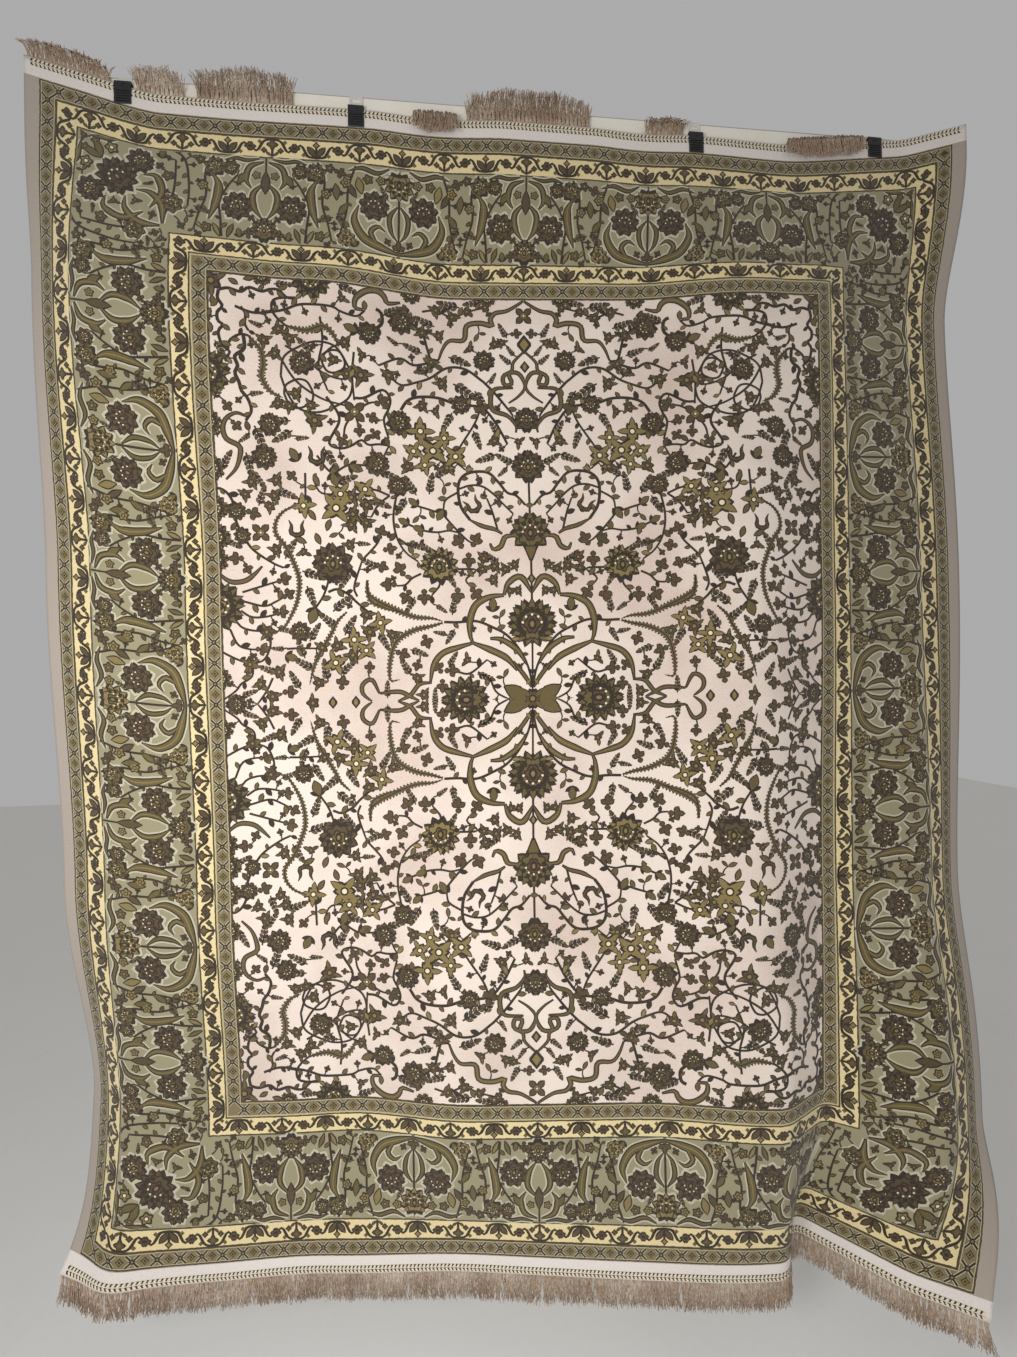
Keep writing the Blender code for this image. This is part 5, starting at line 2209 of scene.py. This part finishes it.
@dataclass
class Fringe:
    """The loose warp ends: twisted strands in small knotted groups."""

    drape: Drape
    spacing: float = 0.0110
    strands: int = 16
    yarn: float = 0.0013
    tip: float = 0.55
    joints: int = 4
    seed: int = 11
    paths: dict[Pose, tuple[tuple[float, float], ...]] = field(
        default_factory=lambda: {
            Pose.HANGING: ((0.000, -0.012), (0.001, -0.028), (0.001, -0.046), (0.002, -0.072)),
            Pose.STANDING: ((0.002, 0.014), (0.005, 0.034), (0.012, 0.048), (0.022, 0.050)),
            Pose.UPRIGHT: ((0.001, 0.016), (0.002, 0.044), (0.006, 0.070), (0.016, 0.076)),
            Pose.LEANING: ((0.002, 0.014), (0.006, 0.030), (0.014, 0.038), (0.022, 0.030)),
            Pose.FALLING: ((0.004, 0.012), (0.012, 0.014), (0.018, -0.006), (0.016, -0.046)),
        }
    )

    def build(self, finish: bpy.types.Material) -> list[bpy.types.Object]:
        """Every run as a piece of its own, in place of its node."""
        return [self._run(run, finish) for run in RUNS]

    def _run(self, run: Run, finish: bpy.types.Material) -> bpy.types.Object:
        """Builds one run of strands.

        Args:
            run: the run.
            finish: the yarn's material.

        Returns:
            The piece that replaces the run's solid.
        """
        chance = np.random.default_rng(self.seed + len(run.node) + int(100 * abs(run.start)))
        unit, faces = unit_strand(3, self.joints)
        places: list[np.ndarray] = []
        shapes: list[tuple[int, ...]] = []
        groups = max(2, round((run.stop - run.start) / self.spacing))
        for group in range(groups):
            middle = run.start + (group + 0.5) * (run.stop - run.start) / groups
            lean = chance.normal(0, 0.005)
            reach = chance.uniform(0.90, 1.04)
            if run.end > 0:
                along = 2.0 * (group + 0.5) / groups - 1.0
                reach *= 0.50 + 0.50 * math.sqrt(max(0.0, 1.0 - along**2))
            for _ in range(self.strands):
                line = self._line(run, middle, lean, reach, chance)
                first = sum(len(p) for p in places)
                places.append(self._tube(unit, line))
                shapes.extend(tuple(first + i for i in face) for face in faces)
        data = bpy.data.meshes.new(run.node)
        data.from_pydata(np.vstack(places).tolist(), [], shapes)
        piece = add_piece(run.node + "_yarn", smooth_shape(data), finish)
        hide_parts(run.node)
        return piece

    def _line(
        self, run: Run, middle: float, lean: float, reach: float, chance: np.random.Generator
    ) -> np.ndarray:
        """The path of one strand.

        Args:
            run: its run.
            middle: the middle of its group.
            lean: how far its group leans sideways.
            reach: its group's length for each unit of the path.
            chance: the run's random numbers.

        Returns:
            One point more than there are joints.
        """
        half = self.drape.length / 2
        spread = chance.uniform(-0.5, 0.5) * self.spacing
        u = np.clip(middle + spread, -FRINGE_EDGE, FRINGE_EDGE)
        root = self.drape.points([u], [run.end * half])[0]
        out = self.drape.normals(np.array([u]), np.array([run.end * half]))[0]
        forward = np.array([out[0], out[1], 0.0])
        forward /= np.linalg.norm(forward)
        sideways = np.array([-forward[1], forward[0], 0.0])
        count = self.joints + 1
        if run.pose is Pose.TUCKED:
            down = np.linspace(0, 0.060 * reach, count)
            level = -(0.0034 + chance.uniform(0.0004, 0.004))
            us = np.clip(u + np.linspace(0, chance.normal(0, 0.004), count), -FRINGE_EDGE, FRINGE_EDGE)
            return self.drape.points(us, half - 0.002 - down, np.full(count, level))
        steps = np.array(((0.0, 0.0), *self.paths[run.pose]))
        run_of = spline(steps, self.joints) * (1.0, reach * chance.uniform(0.82, 1.05))
        share = np.linspace(0, 1, count)
        pinch = -spread * 0.45 * np.exp(-(((share - 0.2) / 0.13) ** 2))
        drift = lean * share**2 + chance.normal(0, 0.009) * share**2
        drift = drift + chance.normal(0, 0.0012, count) * share + pinch
        depth = run_of[:, 0] + chance.normal(0, 0.0022) * share + chance.normal(0, 0.0008, count)
        line = root + forward * depth[:, None] + sideways * drift[:, None]
        line[:, 2] += run_of[:, 1]
        return line

    def _tube(self, unit: np.ndarray, line: np.ndarray) -> np.ndarray:
        """Lays the unit strand along a path.

        Args:
            unit: the unit strand's points.
            line: the path.

        Returns:
            The strand's points.
        """
        joint = np.rint(unit[:, 2]).astype(int)
        ahead = np.gradient(line, axis=0)
        ahead /= np.maximum(np.linalg.norm(ahead, axis=1, keepdims=True), 1e-9)
        side = np.cross(ahead, (0.0, 1.0, 0.05))
        side /= np.linalg.norm(side, axis=1, keepdims=True)
        other = np.cross(ahead, side)
        size = self.yarn * np.interp(np.arange(len(line)), (0, len(line) - 1), (1.0, self.tip))[joint]
        place = unit[:, :2] * size[:, None]
        return line[joint] + side[joint] * place[:, :1] + other[joint] * place[:, 1:]


@dataclass
class Hanger:
    """The rail and its four clips: finishes for the frame's own nodes, and their small parts."""

    ribs: int = 5
    rib_gap: float = 0.0062
    rib_width: float = 0.030
    rib_height: float = 0.0022
    rib_depth: float = 0.0022
    rib_bevel: float = 0.0006
    rib_start: float = 0.007
    pin_radius: float = 0.0042
    pin_drop: float = 0.008

    def dress(self) -> None:
        """Gives the rail, the hooks and the jaws their finishes."""
        paint = SolidFinish("rail_cream_paint", "#E9E3D6", "#DDD5C5", 0.42, 260.0, 0.15).build()
        metal = SolidFinish(
            "hook_white_metal", "#DAD8D0", "#B9B6AC", 0.38, 420.0, 0.2, metallic=0.35
        ).build()
        plastic = SolidFinish("jaw_black_plastic", "#17171A", "#2B2B2E", 0.5, 1400.0, 0.5).build()
        self._assign("rail", paint)
        for number in range(1, 5):
            self._assign(f"clip_{number}_hook", metal)
            self._assign(f"clip_{number}_jaw", plastic)
            self._ribs(number, plastic)
        self._edge_strip()

    @staticmethod
    def _assign(node: str, finish: bpy.types.Material) -> None:
        """Puts a finish on a frame node's material slots."""
        for slot in bpy.data.objects[node].material_slots:
            slot.material = finish

    def _ribs(self, number: int, finish: bpy.types.Material) -> None:
        """Builds the grip ribs and the spring pin on the front of a jaw.

        Args:
            number: the clip's number.
            finish: the jaw's material.
        """
        low, high = (Vector(corner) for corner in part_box(f"clip_{number}_jaw"))
        middle = (low.x + high.x) / 2
        shape = bmesh.new()
        for rib in range(self.ribs):
            centre = Vector((middle, low.y - 0.0006, low.z + self.rib_start + rib * self.rib_gap))
            self._box(shape, centre, (self.rib_width, self.rib_depth, self.rib_height), self.rib_bevel)
        pin = bmesh.ops.create_cone(
            shape,
            cap_ends=True,
            segments=16,
            radius1=self.pin_radius,
            radius2=self.pin_radius * 0.8,
            depth=0.002,
        )["verts"]
        bmesh.ops.rotate(shape, cent=Vector(), matrix=Matrix.Rotation(math.radians(90), 3, "X"), verts=pin)
        bmesh.ops.translate(shape, vec=Vector((middle, low.y - 0.0008, high.z - self.pin_drop)), verts=pin)
        bmesh.ops.recalc_face_normals(shape, faces=shape.faces)
        add_piece(f"clip_{number}_ribs", shape, finish)

    @staticmethod
    def _box(shape: bmesh.types.BMesh, centre: Vector, size: Sequence[float], bevel: float) -> None:
        """Adds a box with rounded edges to a shape.

        Args:
            shape: the shape.
            centre: the box's middle.
            size: its size along each axis.
            bevel: how far its edges are rounded.
        """
        made = bmesh.ops.create_cube(shape, size=1.0)["verts"]
        bmesh.ops.scale(shape, vec=Vector(size), verts=made)
        bmesh.ops.translate(shape, vec=centre, verts=made)
        edges = list({edge for vertex in made for edge in vertex.link_edges})
        bmesh.ops.bevel(
            shape, geom=edges, offset=bevel, segments=2, profile=0.5, affect="EDGES", material=-1
        )

    def _edge_strip(self) -> None:
        """The thin grey strip along the rail's top front edge."""
        low, high = (Vector(corner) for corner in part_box("rail"))
        grey = SolidFinish("rail_strip_grey", "#A9A7A1", "#8F8D88", 0.5, 300.0, 0.2).build()
        shape = bmesh.new()
        centre = Vector(((low.x + high.x) / 2, low.y - 0.0001, high.z - 0.0026))
        self._box(shape, centre, (high.x - low.x - 0.004, 0.0006, 0.0024), 0.0002)
        bmesh.ops.recalc_face_normals(shape, faces=shape.faces)
        add_piece("rail_top_strip", shape, grey)


class Lamp(NamedTuple):
    """A wide soft lamp: where it hangs, what it points at, its power in watts and its width."""

    name: str
    place: tuple[float, float, float]
    target: tuple[float, float, float]
    power: float
    width: float


@dataclass
class Studio:
    """The plain pale floor, the soft light and the camera at the photograph's viewing angle."""

    eye: tuple[float, float, float] = (0.821, -1.555, -1.463)
    turn: tuple[float, float, float] = (-0.44, -5.89, -1.06)
    focal: float = 600.0
    picture: tuple[int, int] = (1017, 1357)
    floor: float = -3.32
    world: float = 0.41
    lamps: tuple[Lamp, ...] = (
        Lamp("key", (0.0, -1.68, -1.45), (0.75, 0.0, -1.5), 31.0, 0.7),
        Lamp("low_fill", (0.7, -1.9, -2.75), (0.75, 0.0, -2.6), 12.0, 1.0),
    )

    def build(self) -> None:
        """Builds the floor, the lights and the camera."""
        self._floor()
        self._lights()
        self._camera()

    def _floor(self) -> None:
        """A wide pale floor below the fringe."""
        shape = bmesh.new()
        bmesh.ops.create_grid(shape, x_segments=1, y_segments=1, size=9.0)
        bmesh.ops.translate(shape, vec=Vector((1.0, 0.0, self.floor)), verts=shape.verts)
        data = bpy.data.meshes.new("studio_floor")
        shape.to_mesh(data)
        shape.free()
        data.materials.append(SolidFinish("floor_pale", "#EDEBE7", "#E8E6E2", 0.8, 40.0, 0.1).build())
        ground = bpy.data.objects.new("studio_floor", data)
        bpy.context.scene.collection.objects.link(ground)

    def _lights(self) -> None:
        """Sets the pale world and hangs the lamps."""
        world = bpy.data.worlds.new("pale_room")
        world.use_nodes = True
        background = world.node_tree.nodes["Background"]
        background.inputs["Color"].default_value = (1.0, 1.0, 1.0, 1.0)
        background.inputs["Strength"].default_value = self.world
        bpy.context.scene.world = world
        bpy.context.scene.view_settings.view_transform = "Standard"
        for lamp in self.lamps:
            light = bpy.data.lights.new(lamp.name, "AREA")
            light.energy = lamp.power
            light.size = lamp.width
            holder = bpy.data.objects.new(lamp.name, light)
            holder.location = lamp.place
            aim = Vector(lamp.target) - Vector(lamp.place)
            holder.rotation_euler = aim.to_track_quat("-Z", "Y").to_euler()
            bpy.context.scene.collection.objects.link(holder)

    def _camera(self) -> None:
        """The camera, with its longer side the picture's height."""
        rx, ry, rz = (math.radians(angle) for angle in self.turn)
        turned = Matrix.Rotation(rz, 3, "Z") @ Matrix.Rotation(rx, 3, "X")
        turned = turned @ Matrix.Rotation(ry, 3, "Y")
        right, down, ahead = (Vector((row[0], row[2], -row[1])) for row in turned)
        lens = bpy.data.cameras.new("photo_view")
        lens.sensor_width = 36.0
        lens.lens = 36.0 * self.focal / self.picture[1]
        camera = bpy.data.objects.new("photo_view", lens)
        axes = Matrix((right, -down, -ahead)).transposed()
        camera.matrix_world = Matrix.Translation(Vector(self.eye)) @ axes.to_4x4()
        bpy.context.scene.collection.objects.link(camera)
        bpy.context.scene.camera = camera


def keep_sizes() -> None:
    """Brings the view layer up to date.
    """
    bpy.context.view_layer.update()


def main() -> None:
    """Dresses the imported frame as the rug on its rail."""
    logging.basicConfig(level=logging.INFO)
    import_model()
    drape = Drape()
    cloth = Cloth(drape, Design())
    sheet = cloth.build()
    design = cloth.lay_design()
    # The yarn's brown is its own colour, made darker as painted shade; the pale second colour, mixed in by
    # noise, is painted highlight on the strands.
    yarn = SolidFinish("fringe_cotton_painted_light_and_shade", "#A28A73", "#EFE3D2", 0.9, 160.0, 0.4).build()
    fringe = Fringe(drape).build(yarn)
    Hanger().dress()
    Studio().build()
    keep_sizes()


if __name__ == "__main__":
    main()
